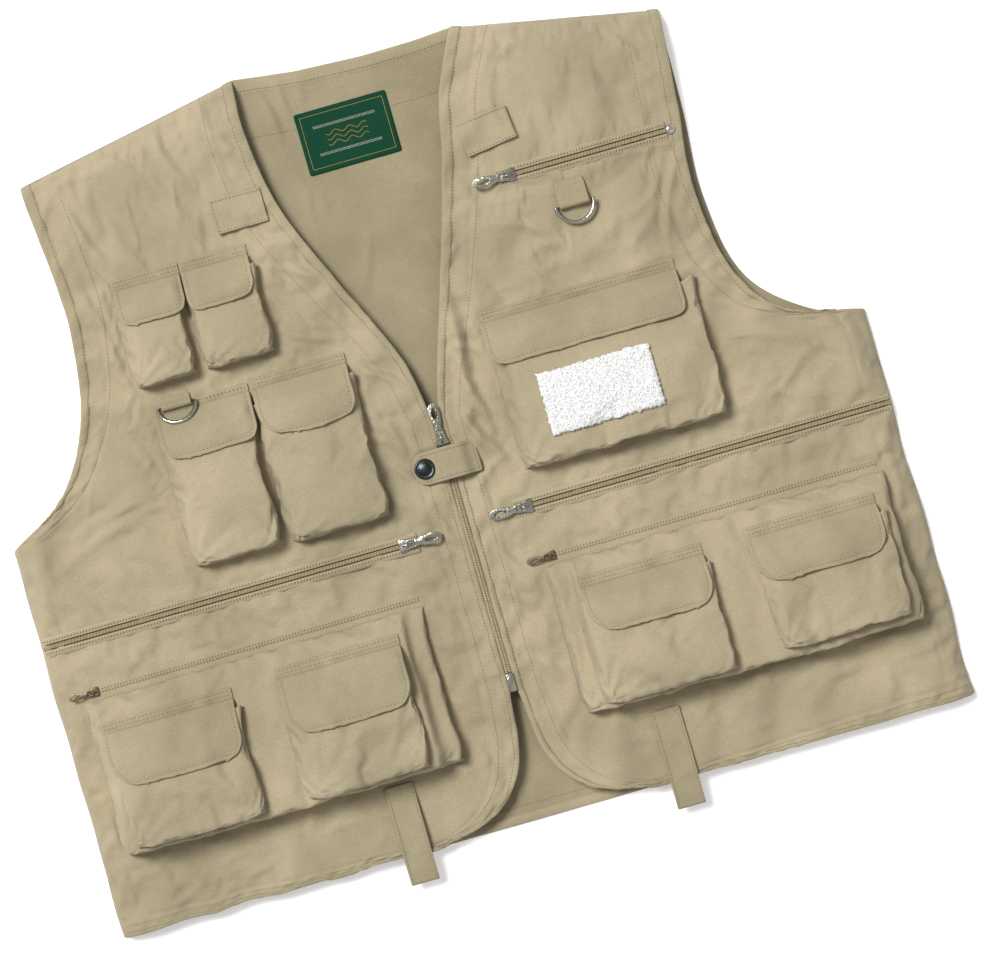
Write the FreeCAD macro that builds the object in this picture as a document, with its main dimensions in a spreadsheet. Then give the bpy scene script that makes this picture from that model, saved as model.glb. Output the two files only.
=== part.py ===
"""Fly-fishing vest lying on its back: two fronts over a back panel, with pockets, flaps, zips and rings.

Millimetres. The wearer's left is +X, the neck is +Y, and +Z points away from the wearer's back.
Lengths up the vest are counted from the hem line; the origin is at the middle of the whole vest's
footprint, on the surface that it lies on.
"""
import FreeCAD
import Part
import math
import os
import Sketcher

Vector = FreeCAD.Vector
X_AXIS, Y_AXIS, Z_AXIS = Vector(1, 0, 0), Vector(0, 1, 0), Vector(0, 0, 1)

doc = FreeCAD.newDocument("FishingVest")
sheet = doc.addObject("Spreadsheet::Sheet", "dims")
SIZES = {}

# ---------------------------------------------------------------- driving dimensions
GARMENT = {
    "cloth": 1.4,               # a panel: shell cloth, interlining and lining together
    "wall": 1.2,                # one pocket wall
    "flap_thick": 1.6,
    "front_top": 14.0,          # outer face of both fronts above the surface
    "back_thick": 1.5,
    "half_hem": 322.0,
    "half_gap": 3.5,            # centre line to a front's straight edge
    "underarm": 290.0,
    "vee": 300.0,               # lowest point of the neck opening
    "corner_rise": 96.0,        # the rounded lower front corner
    "corner_run": 80.0,
    "side_run": 20.0,           # width of the slope down to a side seam
    "shoulder_run": 30.0,       # width of the slope down to a shoulder seam
    "seam_rise": 1.4,           # a front's outer face above the back panel, at a seam
    "binding_width": 6.0,
    "binding_thick": 0.7,
    "mid_length": 277.0,        # hem line to the origin
}
# plan points of each side's neck, shoulder tip and armhole, as distances from the centre line and the hem
SHOULDERS = {
    "right": {"neck": (76, 575), "tip": (243, 542), "arm": ((236, 465), (236, 425), (247, 365), (276, 317))},
    "left": {"neck": (88, 569), "tip": (236, 540), "arm": ((229, 465), (224, 410), (234, 345), (262, 307))},
}
VEE_CURVES = {
    "right": ((77, 535), (68, 478), (42, 414), (12, 346)),
    "left": ((67, 521), (57, 478), (36, 408), (12, 334)),
}
BACK_ARM = ((234, 465), (231, 400), (244, 338), (284, 301))
SIDES = {"right": -1, "left": 1}

# name: left edge, width, lower edge, length, height at the mouth, height at the bottom
CHEST_BAGS = {
    "right_fly_pocket_outer": (-202, 48, 377, 62, 8, 15),
    "right_fly_pocket_inner": (-150, 54, 377, 62, 8, 15),
    "right_mid_pocket_outer": (-197, 68, 242, 100, 8, 17),
    "right_mid_pocket_inner": (-125, 76, 240, 104, 8, 17),
    "left_chest_pocket": (51, 154, 244, 100, 8, 18),
}
BELLOWS = {
    "right_bellows_pocket": (-301, 256, 55, 116, 8, 26),
    "left_bellows_pocket": (46, 254, 62, 112, 8, 26),
}
PATCH_BAGS = {
    "right_patch_pocket_outer": (-290, 98, 5, 76, 7, 13, "right_bellows_pocket"),
    "right_patch_pocket_inner": (-163, 93, 5, 80, 7, 13, "right_bellows_pocket"),
    "left_patch_pocket_inner": (60, 100, 5, 76, 7, 13, "left_bellows_pocket"),
    "left_patch_pocket_outer": (193, 98, 8, 74, 7, 13, "left_bellows_pocket"),
}
# flap: its pocket, left edge, width, hinge line above the pocket's mouth, length over the pocket,
# gap from the hinge line to the cloth, height of the hinge line. The outer mid flap turns about the
# bar of the D-ring above it, so its hinge line is higher.
FLAPS = {
    "right_fly_flap_outer": ("right_fly_pocket_outer", -199, 50, 13, 17, 1.0, 1.8),
    "right_fly_flap_inner": ("right_fly_pocket_inner", -148, 50, 13, 19, 1.0, 1.8),
    "right_mid_flap_outer": ("right_mid_pocket_outer", -195, 71, 18, 22, 4.2, 3.1),
    "right_mid_flap_inner": ("right_mid_pocket_inner", -122, 71, 13, 26, 1.0, 1.8),
    "left_chest_flap": ("left_chest_pocket", 49, 147, 13, 22, 1.0, 1.8),
    "right_patch_flap_outer": ("right_patch_pocket_outer", -293, 98, 12, 32, 1.0, 1.8),
    "right_patch_flap_inner": ("right_patch_pocket_inner", -161, 92, 12, 34, 1.0, 1.8),
    "left_patch_flap_inner": ("left_patch_pocket_inner", 66, 92, 12, 26, 1.0, 1.8),
    "left_patch_flap_outer": ("left_patch_pocket_outer", 190, 97, 12, 26, 1.0, 1.8),
}
FLAP_SIZES = {"root_lift": 0.7, "flap_lift": 0.5, "flap_corner": 12.0}

# zip: x of the closed slider, y, direction of opening along X, chain length
ZIPS = {
    "chest_zip": (98, 453, 1, 118),
    "left_waist_zip": (44, 220, 1, 256),
    "right_waist_zip": (-45, 217, -1, 256),
    "left_bellows_zip": (52, 181, 1, 244),
    "right_bellows_zip": (-292, 177, 1, 244),
}
ZIP_SIZES = {
    "chain_half": 3.0, "chain_thick": 1.6, "chain_start": 8.0,
    "slider_long": 12.0, "slider_half": 5.0, "slider_play": 0.4, "slider_plate": 1.2,
    "bail_long": 8.0, "bail_wide": 2.0, "bail_wire": 1.2, "bail_gap": 2.0,
    "pull_long": 26.0, "pull_half": 4.0, "pull_thick": 1.2, "pull_slot": 6.0, "pull_slot_half": 2.2,
    "main_top": 299.0, "main_bottom": 108.0, "main_slider": 284.0, "box_long": 14.0, "box_half": 3.1,
}
TRIM = {
    "ring_radius": 14.0, "ring_wire": 1.4, "loop_wide": 22.0, "loop_play": 0.4, "loop_thick": 1.2,
    "left_ring_x": 139.0, "left_ring_y": 421.0, "right_ring_x": -177.0, "loop_tail": 20.0,
    "loop_tail_short": 9.0, "right_ring_tilt": 26.0,
    "tab_thick": 1.6, "root_gap": 0.6, "rod_tab_long": 38.0, "rod_tab_wide": 25.0,
    "left_tab_x": 73.0, "left_tab_y": 486.0, "right_tab_x": -76.0, "right_tab_y": 482.0,
    "strap_long": 73.0, "strap_wide": 21.0, "strap_root": 52.0, "left_strap_x": 101.0, "right_strap_x": -99.0,
    "snap_y": 266.0, "snap_wide": 24.0, "snap_root": 22.0, "snap_reach": 48.0, "snap_arch": 21.7, "arch_edge": 5.8, "arch_foot": 9.7,
    "snap_low": 17.2, "tab_rise": 1.1, "snap_x": -17.5, "cap_radius": 7.65, "cap_high": 2.6,
    "stud_radius": 5.5, "stud_flange": 1.0, "post_radius": 2.4, "post_high": 1.7,
    "label_wide": 69.0, "label_high": 46.0, "label_x": -4.5, "label_y": 516.0, "label_thick": 0.8,
    "fleece_wide": 84.0, "fleece_high": 46.0, "fleece_thick": 6.0, "fleece_x": 119.5, "fleece_up": 42.0,
    "lining_thick": 0.9, "lining_deep": 90.0,
    "stop_radius": 3.5, "stop_high": 2.6,
}


def fill_sheet():
    """Write every driving dimension to the sheet, one alias to a cell."""
    SIZES.update(GARMENT)
    for name, (left, wide, low, length, mouth, deep) in {**CHEST_BAGS, **BELLOWS}.items():
        SIZES.update({name + "_left": left, name + "_wide": wide, name + "_low": low,
                      name + "_long": length, name + "_mouth": mouth, name + "_deep": deep})
    for name, (left, wide, low, length, mouth, deep, _) in PATCH_BAGS.items():
        SIZES.update({name + "_left": left, name + "_wide": wide, name + "_low": low,
                      name + "_long": length, name + "_mouth": mouth, name + "_deep": deep})
    for name, (_, left, wide, rise, cover, gap, axis) in FLAPS.items():
        SIZES.update({name + "_left": left, name + "_wide": wide, name + "_rise": rise,
                      name + "_cover": cover, name + "_gap": gap, name + "_axis": axis})
    for name, (start, height, _, length) in ZIPS.items():
        SIZES.update({name + "_start": start, name + "_up": height, name + "_long": length})
    for group in (FLAP_SIZES, ZIP_SIZES, TRIM):
        SIZES.update(group)
    for row, (alias, value) in enumerate(SIZES.items(), start=1):
        sheet.set("A%d" % row, alias)
        sheet.set("B%d" % row, str(value))
        sheet.setAlias("B%d" % row, alias)
    doc.recompute()


# ---------------------------------------------------------------- small helpers
def value(expression):
    """The number that an expression on the sheet's aliases gives."""
    return float(sheet.evalExpression(expression))


def bound(text):
    """An expression with each alias written as a cell of the sheet, for use in another object."""
    words = text.replace("(", " ( ").replace(")", " ) ").split()
    return " ".join("dims." + word if word in SIZES else word for word in words)


def bind(thing, prop, text):
    """Bind one property of an object to the sheet."""
    thing.setExpression(prop, bound(text))


def origin_plane(body, role):
    """The body's own origin plane with this role."""
    return [feature for feature in body.Origin.OriginFeatures if feature.Role == role][0]


def outline_sketch(body, role, corners, name="Outline"):
    """A closed polygon on an origin plane, with every corner bound to the sheet.

    Each corner is a pair of expressions, along the sketch's two axes.
    """
    sketch = body.newObject("Sketcher::SketchObject", name)
    sketch.AttachmentSupport = (origin_plane(body, role), [""])
    sketch.MapMode = "FlatFace"
    spots = [Vector(value(across), value(up), 0) for across, up in corners]
    count = len(spots)
    for index, spot in enumerate(spots):
        sketch.addGeometry(Part.LineSegment(spot, spots[(index + 1) % count]))
    for index in range(count):
        sketch.addConstraint(Sketcher.Constraint("Coincident", index, 2, (index + 1) % count, 1))
    for index, corner in enumerate(corners):
        for kind, text, size, axis in (("DistanceX", corner[0], spots[index].x, -2),
                                       ("DistanceY", corner[1], spots[index].y, -1)):
            if abs(size) < 1e-9:
                sketch.addConstraint(Sketcher.Constraint("PointOnObject", index, 1, axis))
                continue
            row = sketch.addConstraint(Sketcher.Constraint(kind, -1, 1, index, 1, size))
            sketch.setExpression("Constraints[%d]" % row, bound(text))
    return sketch


def pad(body, sketch, length, both_ways=False, reverse=False):
    """Extrude a sketch to a length from the sheet."""
    feature = body.newObject("PartDesign::Pad", "Pad")
    feature.Profile = sketch
    bind(feature, "Length", length)
    feature.Midplane = both_ways
    feature.Reversed = reverse
    sketch.Visibility = False
    doc.recompute()
    return feature


def pocket(body, sketch, length, both_ways=True, reverse=False):
    """Cut a sketch's outline out of a body, and make sure that it cut something."""
    before = body.Shape.Volume
    feature = body.newObject("PartDesign::Pocket", "Cut")
    feature.Profile = sketch
    bind(feature, "Length", length)
    feature.Midplane = both_ways
    feature.Reversed = reverse
    doc.recompute()
    if body.Shape.Volume >= before - 1e-3:
        raise ValueError("the cut in %s removes nothing" % body.Label)
    return feature


def round_edges(body, radius, wanted):
    """Round the edges whose middle and direction satisfy a test."""
    base = body.Tip
    names = []
    for number, edge in enumerate(base.Shape.Edges, start=1):
        middle = edge.valueAt((edge.FirstParameter + edge.LastParameter) / 2)
        run = edge.valueAt(edge.LastParameter) - edge.valueAt(edge.FirstParameter)
        if run.Length > 1e-6 and wanted(middle, run.normalize()):
            names.append("Edge%d" % number)
    feature = body.newObject("PartDesign::Fillet", "Rounding")
    feature.Base = (base, names)
    bind(feature, "Radius", radius)
    doc.recompute()
    return feature


def new_body(label):
    """An empty body that carries a sub-part's name."""
    body = doc.addObject("PartDesign::Body", label)
    body.Label = label
    return body


def place(thing, across, up, high, axis=Z_AXIS, angle=0.0):
    """Put an object at sheet positions, counted from the centre line, the hem line and the surface."""
    thing.Placement = FreeCAD.Placement(Vector(0, 0, 0), FreeCAD.Rotation(axis, angle))
    bind(thing, "Placement.Base.x", across)
    bind(thing, "Placement.Base.y", "( " + up + " ) - mid_length")
    bind(thing, "Placement.Base.z", high)


def primitive(kind, name, **sizes):
    """A Part primitive whose sizes are bound to the sheet."""
    thing = doc.addObject("Part::" + kind, name)
    for prop, text in sizes.items():
        bind(thing, prop, text)
    return thing


def combine(kind, label, pieces):
    """A Part boolean of several objects, such as MultiFuse or MultiCommon."""
    result = doc.addObject("Part::" + kind, label)
    result.Label = label
    result.Shapes = pieces
    return result


def group(label, pieces):
    """Several separate solids kept as one sub-part."""
    result = doc.addObject("Part::Compound", label)
    result.Label = label
    result.Links = pieces
    return result


def cut(label, base, tool):
    """One object cut from another."""
    result = doc.addObject("Part::Cut", label)
    result.Label = label
    result.Base = base
    result.Tool = tool
    return result


# ---------------------------------------------------------------- shell of the vest
def curve(spots):
    """A smooth curve through plan points."""
    spline = Part.BSplineCurve()
    spline.interpolate([Vector(*spot, 0) for spot in spots])
    return spline


def plan_sketch(label, edges):
    """A closed plan outline on the level of the surface, from lines and curves in order."""
    sketch = doc.addObject("Sketcher::SketchObject", label)
    sketch.addGeometry(edges)
    return sketch


def upright(label, sketch, low, high):
    """A sketch in plan extruded from one level to another."""
    solid = doc.addObject("Part::Extrusion", label)
    solid.Base = sketch
    solid.DirMode = "Custom"
    solid.Dir = Z_AXIS
    solid.Solid = True
    bind(solid, "LengthFwd", high)
    bind(solid, "LengthRev", low)
    return solid


def front_outline(side, inset):
    """Plan outline of one front, drawn as far inside its true edge as inset says."""
    sign, shoulder = SIDES[side], SHOULDERS[side]
    middle = GARMENT["mid_length"]

    def at(across, up):
        return (sign * across, up - middle)

    inner = GARMENT["half_gap"] + inset
    outer = GARMENT["half_hem"] - inset
    hem, rise = inset, GARMENT["corner_rise"]
    neck = (shoulder["neck"][0] + inset, shoulder["neck"][1] - inset)
    tip = (shoulder["tip"][0] - inset, shoulder["tip"][1] - inset)
    arm = [at(across - inset, up - inset) for across, up in shoulder["arm"]]
    vee = [at(across + inset, up) for across, up in VEE_CURVES[side]]
    corner = [(inner, rise), (12 + inset, 42), (36, 13 + inset), (GARMENT["corner_run"], hem)]
    corner_curve = curve([at(*spot) for spot in corner])
    arm_curve = curve([at(*tip)] + arm + [at(outer, GARMENT["underarm"] - inset)])
    vee_curve = curve([at(*neck)] + vee + [at(inner, GARMENT["vee"])])
    straight = [
        (at(GARMENT["corner_run"], hem), at(outer, hem)),
        (at(outer, hem), at(outer, GARMENT["underarm"] - inset)),
        (at(*tip), at(*neck)),
        (at(inner, GARMENT["vee"]), at(inner, rise)),
    ]
    lines = [Part.LineSegment(Vector(*a, 0), Vector(*b, 0)) for a, b in straight]
    return [corner_curve, arm_curve, vee_curve] + lines


def roof(side, name, lift):
    """Everything under one front's outer face, raised by lift, over the whole plan."""
    sign, shoulder = SIDES[side], SHOULDERS[side]
    across, up = GARMENT["half_hem"], 700
    block = primitive("Box", name + "_block", Length="half_hem", Height="front_top + ( %s ) + 6" % lift)
    block.Width = up
    place(block, "0" if sign > 0 else "0 - half_hem", "0 - 20", "-6")
    drop = GARMENT["front_top"] - GARMENT["back_thick"] - GARMENT["seam_rise"]
    side_angle = math.degrees(math.atan2(drop, GARMENT["side_run"]))
    side_cut = primitive("Box", name + "_side_cut")
    side_cut.Length, side_cut.Width, side_cut.Height = 100, up + 60, 60
    turn = side_angle if sign > 0 else -side_angle
    shift = side_cut.Length.Value if sign < 0 else 0
    low_edge = Vector(sign * (across - GARMENT["side_run"]), -40 - GARMENT["mid_length"],
                      GARMENT["front_top"] + lift_value(lift))
    rotation = FreeCAD.Rotation(Y_AXIS, turn)
    side_cut.Placement = FreeCAD.Placement(low_edge + rotation.multVec(Vector(-shift, 0, 0)), rotation)
    neck, tip = Vector(*shoulder["neck"], 0), Vector(*shoulder["tip"], 0)
    slope = math.degrees(math.atan2(neck.y - tip.y, tip.x - neck.x))
    fall = math.degrees(math.atan2(drop, GARMENT["shoulder_run"]))
    shoulder_cut = primitive("Box", name + "_shoulder_cut")
    shoulder_cut.Length, shoulder_cut.Width, shoulder_cut.Height = 500, 120, 60
    heading = FreeCAD.Rotation(Z_AXIS, -sign * slope)
    rotation = heading.multiply(FreeCAD.Rotation(X_AXIS, -fall))
    seam = Vector(sign * neck.x, neck.y - GARMENT["mid_length"], 0)
    start = seam + heading.multVec(Vector(-250, -GARMENT["shoulder_run"], 0))
    start.z = GARMENT["front_top"] + lift_value(lift)
    shoulder_cut.Placement = FreeCAD.Placement(start, rotation)
    slopes = combine("MultiFuse", name + "_slopes", [side_cut, shoulder_cut])
    return cut(name, block, slopes)


def lift_value(lift):
    """The number of a lift expression."""
    return value(lift)


def build_front(side):
    """One front panel with the bindings of its front edge and its armhole."""
    skin = cut(side + "_skin", roof(side, side + "_upper_roof", "0"), roof(side, side + "_under_roof", "0 - cloth"))
    plan = plan_sketch(side + "_plan", front_outline(side, 0.0))
    prism = upright(side + "_prism", plan, "0", "front_top + 5")
    combine("MultiCommon", side + "_front", [prism, skin])
    tape = cut(side + "_tape_skin", roof(side, side + "_tape_roof", "binding_thick"),
               roof(side, side + "_base_roof", "0"))
    inner_plan = plan_sketch(side + "_inner_plan", front_outline(side, GARMENT["binding_width"]))
    inner = upright(side + "_inner_prism", inner_plan, "0", "front_top + 6")
    outer_again = upright(side + "_ring_prism", plan, "0", "front_top + 5")
    ring = cut(side + "_ring", outer_again, inner)
    sign = SIDES[side]
    arm_zone = primitive("Box", side + "_arm_zone")
    arm_zone.Length, arm_zone.Width, arm_zone.Height = 110, 236, 40
    place(arm_zone, "205" if sign > 0 else "0 - 315", "296", "0")
    combine("MultiCommon", side + "_armhole_binding", [ring, tape, arm_zone])
    edge_zone = primitive("Box", side + "_edge_zone")
    edge_zone.Length, edge_zone.Width, edge_zone.Height = 92, 560, 40
    place(edge_zone, "0" if sign > 0 else "0 - 92", "0 - 2", "0")
    hem_zone = primitive("Box", side + "_hem_zone")
    hem_zone.Length, hem_zone.Width, hem_zone.Height = 210, 9, 40
    place(hem_zone, "91" if sign > 0 else "0 - 301", "0 - 2", "0")
    zones = combine("MultiFuse", side + "_edge_zones", [edge_zone, hem_zone])
    combine("MultiCommon", side + "_edge_binding", [ring, tape, zones])


def build_back():
    """The back panel, with the neck scooped a little below its shoulder seams."""
    middle = GARMENT["mid_length"]
    half, under = GARMENT["half_hem"], GARMENT["underarm"]

    def seam(side):
        sign, shoulder = SIDES[side], SHOULDERS[side]
        neck, tip = shoulder["neck"], shoulder["tip"]
        return Vector(sign * neck[0], neck[1] - middle, 0), Vector(sign * tip[0], tip[1] - middle, 0)

    def arm(sign, tip):
        spots = [(tip.x, tip.y)] + [(sign * across, up - middle) for across, up in BACK_ARM]
        return curve(spots + [(sign * half, under - middle)])

    right_neck, right_tip = seam("right")
    left_neck, left_tip = seam("left")
    hem = [Vector(-half, -middle, 0), Vector(half, -middle, 0)]
    edges = [
        Part.LineSegment(hem[0], hem[1]),
        Part.LineSegment(hem[1], Vector(half, under - middle, 0)),
        arm(1, left_tip),
        Part.LineSegment(left_tip, left_neck),
        Part.Arc(left_neck, Vector(6, 567 - middle, 0), right_neck),
        Part.LineSegment(right_neck, right_tip),
        arm(-1, right_tip),
        Part.LineSegment(Vector(-half, under - middle, 0), hem[0]),
    ]
    upright("back_panel", plan_sketch("back_plan", edges), "0", "back_thick").Label = "back_panel"


# ---------------------------------------------------------------- pockets and flaps
def build_bag(name, foot=None):
    """A pocket with its mouth up the vest, open to the panel behind it.

    Its side view is a wedge: low at the mouth and deep at the bottom. foot is the placement of the
    surface that a patch pocket stands on.
    """
    body = new_body(name)
    long, mouth, deep = name + "_long", name + "_mouth", name + "_deep"
    side_view = outline_sketch(body, "YZ_Plane", [("0", "0"), (long, "0"), (long, mouth), ("0", deep)])
    pad(body, side_view, name + "_wide", both_ways=True)
    top, half = SIZES[mouth], SIZES[name + "_wide"] / 2
    round_edges(body, "wall * 3", lambda spot, run: (
        (abs(run.x) > 0.99 and spot.y < 1 and spot.z > top)
        or (abs(run.x) < 0.1 and abs(spot.x) > half - 1 and spot.z > top / 2 + 1 and abs(run.z) < 0.9)))
    hollow = outline_sketch(body, "YZ_Plane", [("wall", "0"), (long, "0"), (long, mouth + " - wall"),
                                               ("wall", deep + " - wall")], "Hollow")
    pocket(body, hollow, name + "_wide - 2 * wall")
    set_foot(body, name, foot)
    return body


def set_foot(body, name, foot):
    """Stand a pocket on the front, or on the sloping face of a larger pocket."""
    across = "%s_left + %s_wide / 2" % (name, name)
    if foot is None:
        place(body, across, name + "_low", "front_top + 0.1")
        return
    spot = foot.multVec(Vector(value(across), SIZES[name + "_low"], 0.1))
    body.Placement = FreeCAD.Placement(spot, foot.Rotation)


def bellows_face(name):
    """Placement of a bellows pocket's outer face: its lower edge, with Y up the face."""
    rise = SIZES[name + "_deep"] - SIZES[name + "_mouth"]
    tilt = math.degrees(math.atan2(rise, SIZES[name + "_long"]))
    low = Vector(0, SIZES[name + "_low"] - GARMENT["mid_length"],
                 GARMENT["front_top"] + 0.1 + SIZES[name + "_deep"])
    return FreeCAD.Placement(low, FreeCAD.Rotation(X_AXIS, -tilt))


def flap_hinge(name):
    """Point on a flap's hinge line, as a placement whose Y runs up the vest along the cloth below."""
    bag = FLAPS[name][0]
    up = SIZES[bag + "_low"] + SIZES[bag + "_long"] + SIZES[name + "_rise"]
    across = SIZES[name + "_left"] + SIZES[name + "_wide"] / 2
    if bag in PATCH_BAGS:
        foot = bellows_face(PATCH_BAGS[bag][-1])
        return FreeCAD.Placement(foot.multVec(Vector(across, up, SIZES[name + "_axis"])), foot.Rotation)
    spot = Vector(across, up - GARMENT["mid_length"], GARMENT["front_top"] + SIZES[name + "_axis"])
    return FreeCAD.Placement(spot, FreeCAD.Rotation())


def build_flap(name):
    """A flap that rises from its hinge line to the pocket's mouth and lies on the pocket's face."""
    bag = FLAPS[name][0]
    body = new_body(name)
    slope = "( %s_deep - %s_mouth ) / %s_long" % (bag, bag, bag)
    rise, cover, gap = name + "_rise", name + "_cover", name + "_gap"
    crest = "%s_mouth + flap_lift + 0.1 - %s_axis" % (bag, name)
    tail = crest + " + %s * %s" % (slope, cover)
    root = "root_lift - %s_axis" % name
    corners = [
        ("0 - " + gap, root), ("0 - " + rise, crest), ("0 - %s - %s" % (rise, cover), tail),
        ("0 - %s - %s" % (rise, cover), tail + " + flap_thick"), ("0 - " + rise, crest + " + flap_thick"),
        ("0 - " + gap, root + " + flap_thick"),
    ]
    side_view = outline_sketch(body, "YZ_Plane", corners)
    pad(body, side_view, name + "_wide", both_ways=True)
    end = -SIZES[name + "_rise"] - SIZES[name + "_cover"]
    round_edges(body, "flap_corner", lambda spot, run: abs(run.z) > 0.95 and abs(spot.y - end) < 0.5)
    body.Placement = flap_hinge(name)
    return body


# ---------------------------------------------------------------- zips
def zip_frame(name):
    """Placement of a zip's closed slider: X is the way it opens, Z is away from the cloth."""
    if name == "main_zip":
        spot = Vector(0, SIZES["main_slider"] - GARMENT["mid_length"],
                      GARMENT["front_top"] + GARMENT["binding_thick"])
        return FreeCAD.Placement(spot, FreeCAD.Rotation(Z_AXIS, -90))
    start, height, way, _ = ZIPS[name]
    spot = Vector(start, height - GARMENT["mid_length"], GARMENT["front_top"])
    return FreeCAD.Placement(spot, FreeCAD.Rotation(Z_AXIS, 0 if way > 0 else 180))


def build_chain(name):
    """The closed coil of a pocket zip."""
    body = new_body(name + "_chain")
    length = name + "_long"
    plan = outline_sketch(body, "XY_Plane", [("0 - chain_start", "0 - chain_half"), (length, "0 - chain_half"),
                                             (length, "chain_half"), ("0 - chain_start", "chain_half")])
    pad(body, plan, "chain_thick")
    body.Placement = zip_frame(name).multiply(FreeCAD.Placement(Vector(0, 0, 0.1), FreeCAD.Rotation()))


def build_slider(name):
    """A slider that bridges the coil, with the bail that holds its pull."""
    body = new_body(name + "_slider")
    under = "chain_thick + slider_play"
    top = under + " + slider_plate"
    inner = "chain_half + slider_play"
    bridge = outline_sketch(body, "YZ_Plane", [
        ("slider_half", "slider_play"), ("slider_half", top), ("0 - slider_half", top),
        ("0 - slider_half", "slider_play"), ("0 - ( %s )" % inner, "slider_play"),
        ("0 - ( %s )" % inner, under), (inner, under), (inner, "slider_play")])
    pad(body, bridge, "slider_long", both_ways=True)
    outer_top = top + " + bail_gap + bail_wire"
    half, post = "bail_long / 2", "bail_long / 2 - bail_wire"
    bail = outline_sketch(body, "XZ_Plane", [
        ("0 - " + half, top + " - 0.3"), ("0 - " + half, outer_top), (half, outer_top), (half, top + " - 0.3"),
        (post, top + " - 0.3"), (post, top + " + bail_gap"), ("0 - ( %s )" % post, top + " + bail_gap"),
        ("0 - ( %s )" % post, top + " - 0.3")], "Bail")
    pad(body, bail, "bail_wide", both_ways=True)
    body.Placement = zip_frame(name)


def pull_level():
    """Height of a pull's hinge line above the cloth."""
    return SIZES["chain_thick"] + SIZES["slider_play"] + SIZES["slider_plate"] + SIZES["bail_gap"] / 2


def build_pull(name):
    """A flat pull whose end bar turns inside the bail; it lies back over the closed end."""
    body = new_body(name + "_pull")
    bar, half = "pull_thick / 2", "pull_half"
    plan = outline_sketch(body, "XY_Plane", [(bar, "0 - " + half), (bar, half), ("0 - pull_long", half),
                                             ("0 - pull_long", "0 - " + half)])
    pad(body, plan, "pull_thick", both_ways=True)
    slot = outline_sketch(body, "XY_Plane", [
        ("0 - ( %s )" % bar, "0 - pull_slot_half"), ("0 - ( %s )" % bar, "pull_slot_half"),
        ("0 - pull_slot", "pull_slot_half"), ("0 - pull_slot", "0 - pull_slot_half")], "Slot")
    pocket(body, slot, "pull_thick * 3")
    round_edges(body, "pull_half * 0.6", lambda spot, run: abs(run.z) > 0.9 and spot.x < 1 - SIZES["pull_long"])
    body.Placement = zip_frame(name).multiply(
        FreeCAD.Placement(Vector(0, 0, pull_level()), FreeCAD.Rotation()))


def build_main_zip():
    """The two halves of the separating front zip, between the fronts' straight edges, and its box."""
    stringers = []
    for side, sign in SIDES.items():
        stringer = primitive("Box", "main_zip_%s_stringer" % side, Length="chain_half - 0.1",
                             Width="main_top - main_bottom",
                             Height="cloth + binding_thick + chain_thick")
        place(stringer, "0.1" if sign > 0 else "0 - chain_half", "main_bottom", "front_top - cloth")
        stringers.append(stringer)
    group("main_zip_stringers", stringers)
    box = primitive("Box", "main_zip_box", Length="2 * box_half", Width="box_long",
                    Height="cloth + binding_thick + chain_thick + 0.8")
    place(box, "0 - box_half", "main_bottom - box_long - 0.1", "front_top - cloth")
    box.Label = "main_zip_box"


def build_zip_linings():
    """Flat pouches behind the chest and waist zips, close under the fronts."""
    pouches = []
    for name in ("chest_zip", "left_waist_zip", "right_waist_zip"):
        start, _, way, _ = ZIPS[name]
        deep = "lining_deep" if name != "chest_zip" else "lining_deep * 0.8"
        pouch = primitive("Box", name + "_pouch", Length=name + "_long - 20", Width=deep, Height="lining_thick")
        across = name + "_start + 10" if way > 0 else "%s_start - %s_long + 10" % (name, name)
        place(pouch, across, "%s_up - %s" % (name, deep), "front_top - cloth - lining_thick - 0.1")
        pouches.append(pouch)
    group("zip_pocket_linings", pouches)


# ---------------------------------------------------------------- rings, tabs and trim
def ring_centres():
    """Middle of each D-ring's straight bar, in the vest's frame."""
    level = GARMENT["front_top"] + TRIM["ring_wire"] + TRIM["loop_play"] + TRIM["loop_thick"] + 0.1
    right = flap_hinge("right_mid_flap_outer").Base
    return {"left": Vector(TRIM["left_ring_x"], TRIM["left_ring_y"] - GARMENT["mid_length"], level),
            "right": Vector(TRIM["right_ring_x"], right.y, level)}


def build_d_ring(side):
    """A D-ring of round wire, lying down the vest from its straight bar; the right one rests on a flap."""
    name = "d_ring_" + side
    bow = primitive("Torus", name + "_bow", Radius1="ring_radius", Radius2="ring_wire")
    bow.Angle3 = 180
    bow.Placement = FreeCAD.Placement(Vector(), FreeCAD.Rotation(Z_AXIS, 180))
    bar = primitive("Cylinder", name + "_bar", Radius="ring_wire", Height="2 * ring_radius")
    bar.Placement = FreeCAD.Placement(Vector(-TRIM["ring_radius"], 0, 0), FreeCAD.Rotation(Y_AXIS, 90))
    ends = []
    for sign in (-1, 1):
        end = primitive("Sphere", name + ("_left_end" if sign < 0 else "_right_end"), Radius="ring_wire")
        end.Placement = FreeCAD.Placement(Vector(sign * TRIM["ring_radius"], 0, 0), FreeCAD.Rotation())
        ends.append(end)
    ring = combine("MultiFuse", name, [bow, bar] + ends)
    tilt = TRIM["right_ring_tilt"] if side == "right" else 0.0
    ring.Placement = FreeCAD.Placement(ring_centres()[side], FreeCAD.Rotation(X_AXIS, -tilt))


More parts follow.
